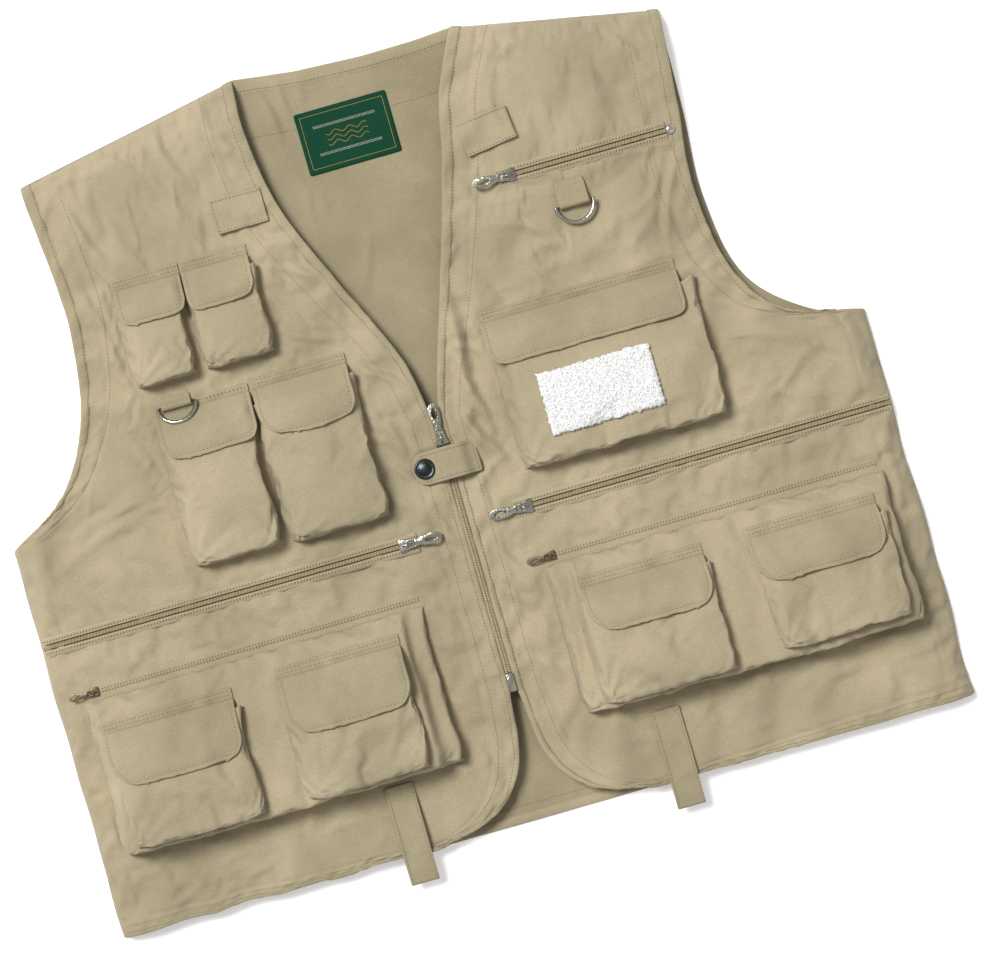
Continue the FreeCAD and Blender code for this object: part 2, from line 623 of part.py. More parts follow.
def build_ring_loops():
    """The cloth loops round the rings' bars, each with a tail sewn to the front above it."""
    loops = []
    for side in ("left", "right"):
        name = side + "_ring_loop"
        outer = primitive("Cylinder", name + "_outer", Radius="ring_wire + loop_play + loop_thick", Height="loop_wide")
        inner = primitive("Cylinder", name + "_inner", Radius="ring_wire + loop_play", Height="loop_wide + 2")
        inner.Placement = FreeCAD.Placement(Vector(0, 0, -1), FreeCAD.Rotation())
        tail = primitive("Box", name + "_tail", Length="loop_thick", Height="loop_wide",
                         Width="loop_tail" if side == "left" else "loop_tail_short")
        tail.Placement = FreeCAD.Placement(
            Vector(TRIM["ring_wire"] + TRIM["loop_play"], 0, 0), FreeCAD.Rotation())
        band = combine("MultiFuse", name + "_band", [outer, tail])
        loop = cut(name, band, inner)
        centre = ring_centres()[side] - Vector(TRIM["loop_wide"] / 2, 0, 0)
        loop.Placement = FreeCAD.Placement(centre, FreeCAD.Rotation(Y_AXIS, 90))
        loops.append(loop)
    group("d_ring_loops", loops)


def build_flat_tab(name, across, up, reach, wide, heading):
    """A flat cloth tab that runs from its sewn root along X of its own frame."""
    body = new_body(name)
    plan = outline_sketch(body, "XY_Plane", [("root_gap", "0 - %s / 2" % wide), (reach, "0 - %s / 2" % wide),
                                             (reach, wide + " / 2"), ("root_gap", wide + " / 2")])
    pad(body, plan, "tab_thick")
    place(body, across, up, "front_top + binding_thick + 0.4", Z_AXIS, heading)


def build_snap_tab():
    """The tab over the front zip, arched to let the slider pass, and the two halves of its snap."""
    body = new_body("snap_tab")
    base, low, arch = "tab_rise", "snap_low - front_top", "snap_arch - front_top"
    under = [("0 - root_gap", base), ("-10", arch), ("0 - snap_root - arch_edge", arch),
             ("0 - snap_root - arch_foot", low), ("0 - snap_reach", low)]
    over = [(across, "%s + tab_thick" % high) for across, high in reversed(under)]
    side_view = outline_sketch(body, "XZ_Plane", under + over)
    pad(body, side_view, "snap_wide", both_ways=True)
    round_edges(body, "snap_wide * 0.4", lambda spot, run: abs(run.z) > 0.9 and spot.x < 1 - TRIM["snap_reach"])
    place(body, "snap_root", "snap_y", "front_top")
    cap = primitive("Cylinder", "snap_cap", Radius="cap_radius", Height="cap_high")
    place(cap, "snap_x", "snap_y", "snap_low + tab_thick + 0.05")
    cap.Label = "snap_cap"
    flange = primitive("Cylinder", "snap_flange", Radius="stud_radius", Height="stud_flange")
    place(flange, "snap_x", "snap_y", "front_top + 0.1")
    post = primitive("Cylinder", "snap_post", Radius="post_radius", Height="post_high")
    place(post, "snap_x", "snap_y", "front_top + stud_flange + 0.1")
    combine("MultiFuse", "snap_stud", [flange, post])


def build_label_and_fleece():
    """The woven label inside the back neck, and the fleece patch on the chest pocket."""
    label = primitive("Box", "neck_label", Length="label_wide", Width="label_high", Height="label_thick")
    place(label, "label_x - label_wide / 2", "label_y - label_high / 2", "back_thick")
    label.Label = "neck_label"
    bag = "left_chest_pocket"
    tilt = math.atan2(SIZES[bag + "_deep"] - SIZES[bag + "_mouth"], SIZES[bag + "_long"])
    fleece = primitive("Box", "fleece_patch", Length="fleece_wide", Width="fleece_high", Height="fleece_thick")
    face = FreeCAD.Placement(
        Vector(0, SIZES[bag + "_low"] - GARMENT["mid_length"],
               GARMENT["front_top"] + 0.15 + SIZES[bag + "_deep"]),
        FreeCAD.Rotation(X_AXIS, -math.degrees(tilt)))
    corner = Vector(TRIM["fleece_x"] - TRIM["fleece_wide"] / 2, TRIM["fleece_up"] - TRIM["fleece_high"] / 2, 0)
    fleece.Placement = FreeCAD.Placement(face.multVec(corner), face.Rotation)
    fleece.Label = "fleece_patch"


def build_end_stops():
    """The rivet at the outer end of the chest zip."""
    start, height, way, length = ZIPS["chest_zip"]
    stop = primitive("Cylinder", "chest_zip_end_stop", Radius="stop_radius", Height="stop_high")
    place(stop, "chest_zip_start + chest_zip_long + stop_radius + 0.3", "chest_zip_up",
          "front_top + binding_thick + 0.1")
    stop.Label = "chest_zip_end_stop"


def build_all():
    """Every sub-part, from the shell outwards; returns nothing."""
    build_back()
    for side in SIDES:
        build_front(side)
    for name in {**CHEST_BAGS, **BELLOWS}:
        build_bag(name)
    for name, sizes in PATCH_BAGS.items():
        build_bag(name, bellows_face(sizes[-1]))
    for name in FLAPS:
        build_flap(name)
    for name in ZIPS:
        build_chain(name)
    for name in ["main_zip"] + list(ZIPS):
        build_slider(name)
        build_pull(name)
    build_main_zip()
    build_zip_linings()
    for side in SIDES:
        build_d_ring(side)
    build_ring_loops()
    build_flat_tab("left_rod_tab", "left_tab_x", "left_tab_y", "rod_tab_long", "rod_tab_wide", 7)
    build_flat_tab("right_rod_tab", "right_tab_x", "right_tab_y", "rod_tab_long", "rod_tab_wide", 180)
    build_flat_tab("left_rod_strap", "left_strap_x", "strap_root", "strap_long", "strap_wide", -90)
    build_flat_tab("right_rod_strap", "right_strap_x", "strap_root", "strap_long", "strap_wide", -90)
    build_snap_tab()
    build_label_and_fleece()
    build_end_stops()


def nodes():
    """The names of all sub-parts, one for each file."""
    names = ["back_panel", "neck_label", "fleece_patch", "zip_pocket_linings", "d_ring_loops",
             "main_zip_stringers", "main_zip_box", "chest_zip_end_stop",
             "snap_tab", "snap_cap", "snap_stud"]
    for side in SIDES:
        names += [side + "_front", side + "_edge_binding", side + "_armhole_binding",
                  "d_ring_" + side, side + "_rod_tab", side + "_rod_strap"]
    names += list(CHEST_BAGS) + list(BELLOWS) + list(PATCH_BAGS) + list(FLAPS)
    names += [name + "_chain" for name in ZIPS]
    names += [name + part for name in ["main_zip"] + list(ZIPS) for part in ("_slider", "_pull")]
    return names


def write_parts():
    """Check every object and write each sub-part's shape."""
    doc.recompute()
    for thing in doc.Objects:
        if "Invalid" in thing.State or "Error" in thing.State:
            raise ValueError("%s could not be worked out" % thing.Label)
    os.makedirs("parts", exist_ok=True)
    for name in nodes():
        shape = doc.getObjectsByLabel(name)[0].Shape
        if shape.isNull() or not shape.isValid() or not shape.Solids:
            raise ValueError("%s has no sound shape" % name)
        shape.exportStep("parts/%s.step" % name)
    print("%d sub-parts written" % len(nodes()))


fill_sheet()
build_all()
write_parts()
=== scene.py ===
"""A fly-fishing vest laid out on its back: cloth, zips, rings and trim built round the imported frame."""
import logging
import math
import random
from dataclasses import dataclass, field
from enum import Enum
from typing import Callable, Iterable, Sequence

import bmesh
import bpy
from mathutils import Matrix, Vector, noise
from mathutils.bvhtree import BVHTree


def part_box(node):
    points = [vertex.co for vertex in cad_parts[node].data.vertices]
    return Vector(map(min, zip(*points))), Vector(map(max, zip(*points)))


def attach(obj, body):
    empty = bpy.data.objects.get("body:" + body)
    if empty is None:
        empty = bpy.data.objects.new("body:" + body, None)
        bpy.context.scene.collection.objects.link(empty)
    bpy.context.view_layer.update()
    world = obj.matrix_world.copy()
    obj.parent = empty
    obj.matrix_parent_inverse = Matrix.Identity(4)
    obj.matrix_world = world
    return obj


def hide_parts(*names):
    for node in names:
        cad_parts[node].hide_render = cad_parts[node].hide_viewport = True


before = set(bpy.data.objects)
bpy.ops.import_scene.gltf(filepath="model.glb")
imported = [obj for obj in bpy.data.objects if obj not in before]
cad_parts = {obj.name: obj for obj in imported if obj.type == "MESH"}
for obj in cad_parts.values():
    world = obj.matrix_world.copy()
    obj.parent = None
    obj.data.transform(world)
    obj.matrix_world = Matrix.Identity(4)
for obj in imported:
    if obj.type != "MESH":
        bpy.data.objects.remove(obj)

logging.basicConfig(level=logging.INFO, format="%(message)s")
log = logging.getLogger("vest")

MM = 0.001
UP = Vector((0.0, 0.0, 1.0))
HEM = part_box("back_panel")[0][1]
ROOT = "vest"
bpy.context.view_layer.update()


def plan(across: float, up: float, high: float = 0.0) -> Vector:
    """A point in metres from millimetres off the centre line, up from the hem and off the surface."""
    return Vector((across * MM, HEM + up * MM, high * MM))


# ------------------------------------------------------------------ finishes
def linear(hex_colour: str) -> tuple[float, float, float, float]:
    """An sRGB hex colour as the linear colour that a shader takes.

    Args:
        hex_colour: six hex digits.
    Returns:
        Red, green, blue and alpha.
    """
    parts = [int(hex_colour[k:k + 2], 16) / 255 for k in (0, 2, 4)]
    return tuple(c / 12.92 if c <= 0.04045 else ((c + 0.055) / 1.055) ** 2.4 for c in parts) + (1.0,)


def add_node(tree: bpy.types.NodeTree, kind: str, inputs: dict | None = None, **settings) -> bpy.types.Node:
    """Add a shader node with its settings, values and links.

    Args:
        tree: the material's node tree.
        kind: the node's type without its ShaderNode prefix.
        inputs: a value, or another node's output to link, for each input.
        settings: the node's own properties.
    Returns:
        The node.
    """
    node = tree.nodes.new("ShaderNode" + kind)
    for name, setting in settings.items():
        setattr(node, name, setting)
    for name, value in (inputs or {}).items():
        socket = node.inputs[name]
        if isinstance(value, bpy.types.NodeSocket):
            tree.links.new(value, socket)
        else:
            socket.default_value = value
    return node


@dataclass(frozen=True)
class Finish:
    """What every finish has: its maker's name and the slot it belongs to."""
    name: str
    slot: str

    def start(self, values: dict) -> tuple[bpy.types.Material, bpy.types.NodeTree, bpy.types.Node]:
        """An empty material with its principled shader linked to the output.

        Args:
            values: the shader's own fixed inputs.
        Returns:
            The material, its node tree and the shader.
        """
        material = bpy.data.materials.new(self.name)
        material.use_nodes = True
        tree = material.node_tree
        tree.nodes.clear()
        shader = add_node(tree, "BsdfPrincipled", values)
        add_node(tree, "OutputMaterial", {"Surface": shader.outputs[0]})
        return material, tree, shader


@dataclass(frozen=True)
class Poplin(Finish):
    """Washed cotton poplin: matt, softly crumpled, with soft random patches of tone and fine flecks."""
    light: str = "B1A487"
    dark: str = "9D9176"
    thread_mm: float = 0.55     # real threads are 0.25 mm apart; drawn coarser so that they show
    crumple_mm: float = 9.0
    crumple: float = 0.55
    clouds: float = 14.0        # soft patches of tone in a metre
    flecks: float = 620.0       # flecks in a metre
    slubs: tuple[float, float, float] = (160.0, 1900.0, 1.0)      # uneven yarns in a metre, along and across

    def material(self) -> bpy.types.Material:
        """Build the cloth."""
        material, tree, shader = self.start({"Roughness": 0.92, "Sheen Weight": 0.12, "Sheen Roughness": 0.6,
                                             "Specular IOR Level": 0.18})
        cloth = add_node(tree, "UVMap", uv_map="cloth").outputs["UV"]
        place = add_node(tree, "TexCoord").outputs["Object"]
        cloud = add_node(tree, "TexNoise", {"Vector": place, "Scale": self.clouds,
                                            "Detail": 4.0}).outputs["Fac"]
        fleck = add_node(tree, "TexNoise", {"Vector": cloth, "Scale": self.flecks,
                                            "Detail": 3.0}).outputs["Fac"]
        slub = add_node(tree, "Mapping", {"Vector": cloth, "Scale": self.slubs}).outputs[0]
        streak = add_node(tree, "TexNoise", {"Vector": slub, "Scale": 1.0, "Detail": 2.0}).outputs["Fac"]
        shades = add_node(tree, "ValToRGB", {"Fac": cloud})
        for stop, position, colour in zip(shades.color_ramp.elements, (0.32, 0.68), (self.dark, self.light)):
            stop.position, stop.color = position, linear(colour)
        worn = add_node(tree, "MixRGB", {"Fac": 0.16, "Color1": shades.outputs[0], "Color2": fleck},
                        blend_type="OVERLAY").outputs[0]
        woven = add_node(tree, "MixRGB", {"Fac": 0.12, "Color1": worn, "Color2": streak},
                         blend_type="OVERLAY").outputs[0]
        tree.links.new(woven, shader.inputs["Base Color"])
        pitch = 1.0 / (self.thread_mm * MM)
        ribs = {"Vector": cloth, "Scale": pitch / math.tau, "Distortion": 0.4}
        warp, weft = (add_node(tree, "TexWave", ribs, bands_direction=way).outputs["Fac"]
                      for way in ("X", "Y"))
        weave = add_node(tree, "Math", {0: warp, 1: weft}, operation="MAXIMUM").outputs[0]
        weave_bump = add_node(tree, "Bump", {"Height": weave, "Strength": 0.35, "Distance": 0.12 * MM})
        crush = {"Vector": place, "Scale": 1000.0 / self.crumple_mm / 1.6, "Detail": 5.0, "Roughness": 0.55,
                 "Distortion": 0.9}
        crumple = add_node(tree, "TexNoise", crush).outputs["Fac"]
        bump = add_node(tree, "Bump", {"Height": crumple, "Strength": self.crumple, "Distance": 1.1 * MM,
                                       "Normal": weave_bump.outputs[0]})
        tree.links.new(bump.outputs[0], shader.inputs["Normal"])
        return material


@dataclass(frozen=True)
class Metal(Finish):
    """Plated wire and castings: bright on the high spots, with fine rubbed scratches."""
    colour: str = "B4B2A6"
    roughness: float = 0.2
    grain_mm: float = 0.6
    dent_mm: float = 2.2

    def material(self) -> bpy.types.Material:
        """Build the metal."""
        material, tree, shader = self.start({"Metallic": 1.0})
        place = add_node(tree, "TexCoord").outputs["Object"]
        grain = add_node(tree, "TexNoise", {"Vector": place, "Scale": 1.0 / (self.grain_mm * MM),
                                            "Detail": 3.0}).outputs["Fac"]
        rough = add_node(tree, "MapRange", {"Value": grain, "To Min": self.roughness * 0.7,
                                            "To Max": self.roughness * 1.5}).outputs[0]
        tone = add_node(tree, "MixRGB", {"Fac": 0.22, "Color1": linear(self.colour), "Color2": grain},
                        blend_type="OVERLAY").outputs[0]
        tree.links.new(tone, shader.inputs["Base Color"])
        tree.links.new(rough, shader.inputs["Roughness"])
        dents = add_node(tree, "TexNoise", {"Vector": place,
                                            "Scale": 1.0 / (self.dent_mm * MM)}).outputs["Fac"]
        bump = add_node(tree, "Bump", {"Height": dents, "Strength": 0.6, "Distance": 0.35 * MM})
        tree.links.new(bump.outputs[0], shader.inputs["Normal"])
        return material


@dataclass(frozen=True)
class Yarn(Finish):
    """Spun thread and moulded nylon coil: small, satin and slightly uneven in tone."""
    colour: str = "B6A47C"
    roughness: float = 0.55
    sheen: float = 0.1
    tone_mm: float = 3.0

    def material(self) -> bpy.types.Material:
        """Build the yarn."""
        material, tree, shader = self.start({"Roughness": self.roughness, "Sheen Weight": self.sheen})
        place = add_node(tree, "TexCoord").outputs["Object"]
        tone = add_node(tree, "TexNoise", {"Vector": place, "Scale": 1.0 / (self.tone_mm * MM),
                                           "Detail": 2.0}).outputs["Fac"]
        mixed = add_node(tree, "MixRGB", {"Fac": 0.3, "Color1": linear(self.colour), "Color2": tone},
                         blend_type="OVERLAY").outputs[0]
        tree.links.new(mixed, shader.inputs["Base Color"])
        return material


@dataclass(frozen=True)
class DamaskLabel(Finish):
    """A dense satin-woven label: fine diagonal ribs and a dull silky gloss."""
    colour: str = "053D29"
    rib_mm: float = 0.7
    flecks: float = 900.0       # flecks in a metre

    def material(self) -> bpy.types.Material:
        """Build the label's ground."""
        material, tree, shader = self.start({"Roughness": 0.6, "Specular IOR Level": 0.1})
        cloth = add_node(tree, "UVMap", uv_map="cloth").outputs["UV"]
        ribs = add_node(tree, "TexWave", {"Vector": cloth, "Scale": 1.0 / (self.rib_mm * MM * math.tau)},
                        bands_direction="DIAGONAL").outputs["Fac"]
        fleck = add_node(tree, "TexNoise", {"Vector": cloth, "Scale": self.flecks}).outputs["Fac"]
        tone = add_node(tree, "MixRGB", {"Fac": 0.25, "Color1": linear(self.colour), "Color2": fleck},
                        blend_type="OVERLAY").outputs[0]
        tree.links.new(tone, shader.inputs["Base Color"])
        bump = add_node(tree, "Bump", {"Height": ribs, "Strength": 0.5, "Distance": 0.15 * MM})
        tree.links.new(bump.outputs[0], shader.inputs["Normal"])
        return material


@dataclass(frozen=True)
class Sherpa(Finish):
    """White sherpa pile: bright curled fibre, with painted shade of soft grey in its hollows, where the curl
    noise is low.
    """
    light: str = "FBFBF9"
    hollow_shade: str = "D9DADA"
    curls: float = 900.0        # curls in a metre

    def material(self) -> bpy.types.Material:
        """Build the pile."""
        material, tree, shader = self.start({"Roughness": 0.95, "Sheen Weight": 0.5})
        place = add_node(tree, "TexCoord").outputs["Object"]
        curl = add_node(tree, "TexNoise", {"Vector": place, "Scale": self.curls, "Detail": 4.0,
                                           "Distortion": 1.2}).outputs["Fac"]
        # Painted shade: the curl noise that raises the pile by bump also greys its low spots.
        ramp = add_node(tree, "ValToRGB", {"Fac": curl})
        for stop, position, colour in zip(ramp.color_ramp.elements, (0.3, 0.6), (self.hollow_shade, self.light)):
            stop.position, stop.color = position, linear(colour)
        tree.links.new(ramp.outputs[0], shader.inputs["Base Color"])
        bump = add_node(tree, "Bump", {"Height": curl, "Strength": 0.8, "Distance": 0.6 * MM})
        tree.links.new(bump.outputs[0], shader.inputs["Normal"])
        return material


SHELL = Poplin("washed_khaki_poplin", "khaki_cloth")
FLAP_CLOTH = Poplin("khaki_poplin_flaps", "khaki_cloth", light="AA9E81", dark="968B70", crumple_mm=7.0)
# The back panel's inside face is darker than the shell, partly as the cloth's wrong side and partly as
# painted shade for the shade under the fronts.
WRONG_SIDE_AND_SHADE = Poplin("khaki_poplin_inside", "khaki_cloth", light="A3977B", dark="90856A", crumple_mm=14.0)
LINING = Poplin("khaki_pocket_lining", "lining_cloth", light="A3977B", dark="90856A", crumple_mm=14.0)
TAPE = Poplin("khaki_cotton_tape", "khaki_tape", light="ADA183", dark="988D71", thread_mm=0.8, crumple_mm=5.0)
ZIP_TAPE = Poplin("woven_zip_tape", "zip_coil", light="54442D", dark="453724", thread_mm=0.7, crumple=0.2)
NICKEL = Metal("polished_nickel_plate", "zip_metal")
RING_NICKEL = Metal("nickel_plated_wire", "ring_steel", colour="C4C2BA", roughness=0.18)
BRIGHT = Metal("chromed_zip_stop", "zip_metal", colour="E4E4E2", roughness=0.12)
ENAMEL = Metal("antique_brass_zip_slider", "zip_metal", colour="776C58", roughness=0.45)
GUNMETAL = Metal("blackened_brass", "snap_metal", colour="3E4245", roughness=0.3)
THREAD = Yarn("khaki_sewing_thread", "khaki_tape", colour="887D60", roughness=0.7, sheen=0.3)
WHITE_THREAD = Yarn("pale_sewing_thread", "khaki_tape", colour="BDB195", roughness=0.7, sheen=0.3)
BROWN_THREAD = Yarn("brown_sewing_thread", "zip_coil", colour="5C4A33", roughness=0.7, sheen=0.3)
COIL = Yarn("khaki_nylon_coil", "zip_coil", colour="BFAF88", roughness=0.4, sheen=0.0)
GOLD_THREAD = Yarn("gold_label_thread", "label_weave", colour="C9A83C", roughness=0.45, sheen=0.3)
IVORY_THREAD = Yarn("ivory_label_thread", "label_weave", colour="D9D6C2", roughness=0.5, sheen=0.3)
LABEL_GROUND = DamaskLabel("green_damask_label", "label_weave")
PILE = Sherpa("white_sherpa_pile", "fleece")

_materials: dict[str, bpy.types.Material] = {}


def dress(piece: bpy.types.Object, finish: Finish, body: str, node: str = "") -> None:
    """Give a piece its finish, ride it on its body, and replace a node of the frame with it.

    Args:
        piece: the piece.
        finish: what it is made of.
        body: the body that it rides on.
        node: the node that it stands for, if it has one.
    """
    if finish.name not in _materials:
        _materials[finish.name] = finish.material()
    piece.data.materials.clear()
    piece.data.materials.append(_materials[finish.name])
    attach(piece, body)
    if node:
        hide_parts(node)


# ------------------------------------------------------------------ mesh helpers
def to_object(bm: bmesh.types.BMesh, name: str) -> bpy.types.Object:
    """Turn a bmesh into a smooth-shaded object at the origin, and free it.

    Args:
        bm: the mesh being built.
        name: the piece's name.
    Returns:
        The object.
    """
    for face in bm.faces:
        face.smooth = True
    mesh = bpy.data.meshes.new(name)
    bm.to_mesh(mesh)
    bm.free()
    piece = bpy.data.objects.new(name, mesh)
    bpy.context.scene.collection.objects.link(piece)
    return piece


def ease(bm: bmesh.types.BMesh, edges: list[bmesh.types.BMEdge], reach: float, segments: int) -> None:
    """Round some edges over by a reach in metres."""
    bmesh.ops.bevel(bm, geom=edges, offset=reach, segments=segments, profile=0.5, affect="EDGES",
                    material=-1)


def thicken(piece: bpy.types.Object, thickness: float, levels: int) -> None:
    """Finish a sheet with a smooth surface and a real thickness in metres; 0 of either adds none."""
    if levels:
        smooth = piece.modifiers.new("smooth", "SUBSURF")
        smooth.levels = smooth.render_levels = levels
    if thickness:
        wall = piece.modifiers.new("cloth_thickness", "SOLIDIFY")
        wall.thickness = thickness
        wall.offset = -1.0


def size_of(node: str) -> tuple[Vector, Vector, float, float]:
    """A node's low and high corners in metres, and its width and height in millimetres."""
    low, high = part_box(node)
    return low, high, (high[0] - low[0]) / MM, (high[1] - low[1]) / MM


def spread(start: float, end: float, steps: int) -> list[float]:
    """Evenly spaced values from start to end, both included."""
    return [start + (end - start) * k / steps for k in range(steps + 1)]


class Route:
    """A smooth plan curve through a few points, read by its share of length."""

    def __init__(self, spots: Sequence[tuple[float, float]], smooth: bool = True) -> None:
        """Sample the curve.

        Args:
            spots: points in millimetres.
            smooth: False keeps straight runs between them.
        """
        steps = 24 if smooth else 1
        self.trail: list[Vector] = []
        count = len(spots)
        for index in range(count - 1):
            before = Vector(spots[max(index - 1, 0)])
            start, end = Vector(spots[index]), Vector(spots[index + 1])
            after = Vector(spots[min(index + 2, count - 1)])
            reach = (end - start).length
            lead = (end - before).normalized() * reach
            follow = (after - start).normalized() * reach
            for step in range(steps):
                k = step / steps
                if not smooth:
                    self.trail.append(start.lerp(end, k))
                    continue
                k2, k3 = k * k, k * k * k
                self.trail.append((2 * k3 - 3 * k2 + 1) * start + (k3 - 2 * k2 + k) * lead
                                  + (3 * k2 - 2 * k3) * end + (k3 - k2) * follow)
        self.trail.append(Vector(spots[-1]))
        self.lengths = [0.0]
        for first, second in zip(self.trail, self.trail[1:]):
            self.lengths.append(self.lengths[-1] + (second - first).length)

    def at(self, share: float) -> Vector:
        """The point at a share of the whole length, from 0 to 1."""
        wanted = min(max(share, 0.0), 1.0) * self.lengths[-1]
        for index in range(1, len(self.lengths)):
            if wanted <= self.lengths[index] + 1e-9:
                span = self.lengths[index] - self.lengths[index - 1]
                k = (wanted - self.lengths[index - 1]) / span if span else 0.0
                return self.trail[index - 1].lerp(self.trail[index], k)
        return self.trail[-1].copy()


def stations(length: float, cell: float, near: Sequence[float] = (),
             far: Sequence[float] = ()) -> list[float]:
    """Places along a length: exact insets at each end, and even steps between them.

    Args:
        length: the whole length.
        cell: the wanted step.
        near: insets from the start.
        far: insets from the end.
    Returns:
        Increasing places from 0 to length.
    """
    first, last = (near[-1] if near else 0.0), length - (far[-1] if far else 0.0)
    steps = max(2, round((last - first) / cell))
    ends = [0.0, *near, *(length - inset for inset in far), length]
    places = sorted(ends + spread(first, last, steps))
    return [place for index, place in enumerate(places) if index == 0 or place - places[index - 1] > 1e-6]


class Edge(Enum):
    """The four edges of a net."""
    START = "s0"
    END = "s1"
    FOOT = "t0"
    HEAD = "t1"


class Net:
    """A regular net of cloth points, with its own flat size, that can be draped, simulated and sewn."""

    def __init__(self, points: list[list[Vector]]) -> None:
        """Keep the points.

        Args:
            points: rows of points; a row runs across and rows go up.
        """
        self.points = points
        self.rows, self.columns = len(points) - 1, len(points[0]) - 1
        self.width = sum(self._run(row) for row in points) / len(points)
        self.length = sum(self._run([row[i] for row in points])
                          for i in range(self.columns + 1)) / (self.columns + 1)
        self.area = self._area()

    @staticmethod
    def _run(spots: Sequence[Vector]) -> float:
        """Length of a line of points."""
        return sum((b - a).length for a, b in zip(spots, spots[1:]))

    def _area(self) -> float:
        """Area of all cells."""
        total = 0.0
        for j in range(self.rows):
            for i in range(self.columns):
                a, b = self.points[j][i], self.points[j][i + 1]
                c, d = self.points[j + 1][i + 1], self.points[j + 1][i]
                total += ((c - a).cross(d - b)).length / 2
        return total

    @staticmethod
    def _between(line: Sequence[Vector]) -> list[Vector]:
        """A line of points with a smooth middle point added between each two."""
        last = len(line) - 1
        full = []
        for k in range(last):
            ends, wings = line[k] + line[k + 1], line[max(k - 1, 0)] + line[min(k + 2, last)]
            full.extend((line[k], ends * 0.5625 - wings * 0.0625))
        return full + [line[last]]

    def refine(self) -> None:
        """Double the net's points both ways, on smooth curves through the old ones."""
        wide = [self._between(row) for row in self.points]
        columns = [self._between([row[i] for row in wide]) for i in range(len(wide[0]))]
        self.points = [[column[j] for column in columns] for j in range(len(columns[0]))]
        self.rows, self.columns = len(self.points) - 1, len(columns) - 1

    def at(self, s: float, t: float) -> Vector:
        """The cloth's point at shares s across and t up."""
        x, y = min(max(s, 0.0), 1.0) * self.columns, min(max(t, 0.0), 1.0) * self.rows
        i, j = min(int(x), self.columns - 1), min(int(y), self.rows - 1)
        low = self.points[j][i].lerp(self.points[j][i + 1], x - i)
        high = self.points[j + 1][i].lerp(self.points[j + 1][i + 1], x - i)
        return low.lerp(high, y - j)

    def normal(self, s: float, t: float) -> Vector:
        """The cloth's upper side at shares s and t."""
        ds, dt = 0.6 / self.columns, 0.6 / self.rows
        along = self.at(s + ds, t) - self.at(s - ds, t)
        rise = self.at(s, t + dt) - self.at(s, t - dt)
        out = along.cross(rise).normalized()
        return -out if out.z < 0 else out

    def declare(self, piece: bpy.types.Object, held: str, below: str, trim: list[bpy.types.Object]) -> None:
        """Work out the smaller of this net's cell area and its flat size; the result is not kept and nothing
        is declared.

        Args:
            piece: not used.
            held: not used.
            below: not used.
            trim: not used.
        """
        min(self.area, self.width * self.length)

    def mesh(self) -> bmesh.types.BMesh:
        """The net as a bmesh with its flat layout as the UV map named cloth."""
        bm = bmesh.new()
        layer = bm.loops.layers.uv.new("cloth")
        bmesh.ops.create_grid(bm, x_segments=self.columns, y_segments=self.rows, size=0.5)
        for vert in bm.verts:
            i = round((vert.co.x + 0.5) * self.columns)
            j = round((vert.co.y + 0.5) * self.rows)
            vert.co = self.points[j][i]
            for loop in vert.link_loops:
                loop[layer].uv = (i / self.columns * self.width, j / self.rows * self.length)
        bm.normal_update()
        if sum(face.normal.z * face.calc_area() for face in bm.faces) < 0:
            bmesh.ops.reverse_faces(bm, faces=bm.faces)
        return bm

    def tree(self) -> BVHTree:
        """A search tree of the cloth, for laying other pieces on it."""
        bm = self.mesh()
        found = BVHTree.FromBMesh(bm)
        bm.free()
        return found

    def simulate(self, hold: Callable[[int, int], float], recipe: "Recipe") -> None:
        """Let the cloth buckle and fill out under Blender's cloth solver, then keep the result.

        Args:
            hold: how firmly the point in column i of row j is sewn down, from 0 to 1.
            recipe: the solver's values.
        """
        trial = to_object(self.mesh(), "trial_cloth")
        group = trial.vertex_groups.new(name="sewn")
        order = self._order()
        weights = [hold(i, j) for i, j in order]
        for index, weight in enumerate(weights):
            if weight > 0:
                group.add([index], weight, "REPLACE")
        cloth = trial.modifiers.new("cloth", "CLOTH")
        settings = cloth.settings
        settings.quality = recipe.quality
        settings.mass = recipe.mass
        settings.air_damping = 2.0
        settings.tension_stiffness = settings.compression_stiffness = recipe.stiffness
        settings.shear_stiffness = recipe.stiffness * 0.4
        settings.bending_stiffness = recipe.bending
        settings.tension_damping = settings.compression_damping = 8.0
        settings.vertex_group_mass = "sewn"
        settings.shrink_min = -recipe.growth
        settings.use_pressure = recipe.pressure > 0
        settings.uniform_pressure_force = recipe.pressure
        settings.effector_weights.gravity = 0.0
        cloth.collision_settings.use_collision = False
        scene = bpy.context.scene
        cloth.point_cache.frame_start, cloth.point_cache.frame_end = 1, recipe.frames
        for number in range(1, recipe.frames + 1):
            scene.frame_set(number)
        result = trial.evaluated_get(bpy.context.evaluated_depsgraph_get()).data
        for index, (i, j) in enumerate(order):
            moved = result.vertices[index].co - self.points[j][i]
            if moved.length > recipe.cap:
                moved *= recipe.cap / moved.length
            self.points[j][i] = self.points[j][i] + moved
        scene.frame_set(1)
        bpy.data.objects.remove(trial)
        log.info("cloth solved: %d points, %d sewn", len(order), sum(weight > 0 for weight in weights))

    def _order(self) -> list[tuple[int, int]]:
        """Column and row of each vertex, in the order that the mesh holds them."""
        bm = bmesh.new()
        bmesh.ops.create_grid(bm, x_segments=self.columns, y_segments=self.rows, size=0.5)
        order = [(round((v.co.x + 0.5) * self.columns), round((v.co.y + 0.5) * self.rows)) for v in bm.verts]
        bm.free()
        return order

    def rim(self, edge: Edge, share: float, inset: float) -> tuple[float, float]:
        """Shares of the point at an inset in metres from an edge, at a share along that edge."""
        upright = edge in (Edge.START, Edge.END)
        line = [self.at(k / 12, share) if upright else self.at(share, k / 12) for k in range(13)]
        step = inset / max(self._run(line), 1e-6)
        if edge in (Edge.END, Edge.HEAD):
            step = 1 - step
        return (step, share) if upright else (share, step)

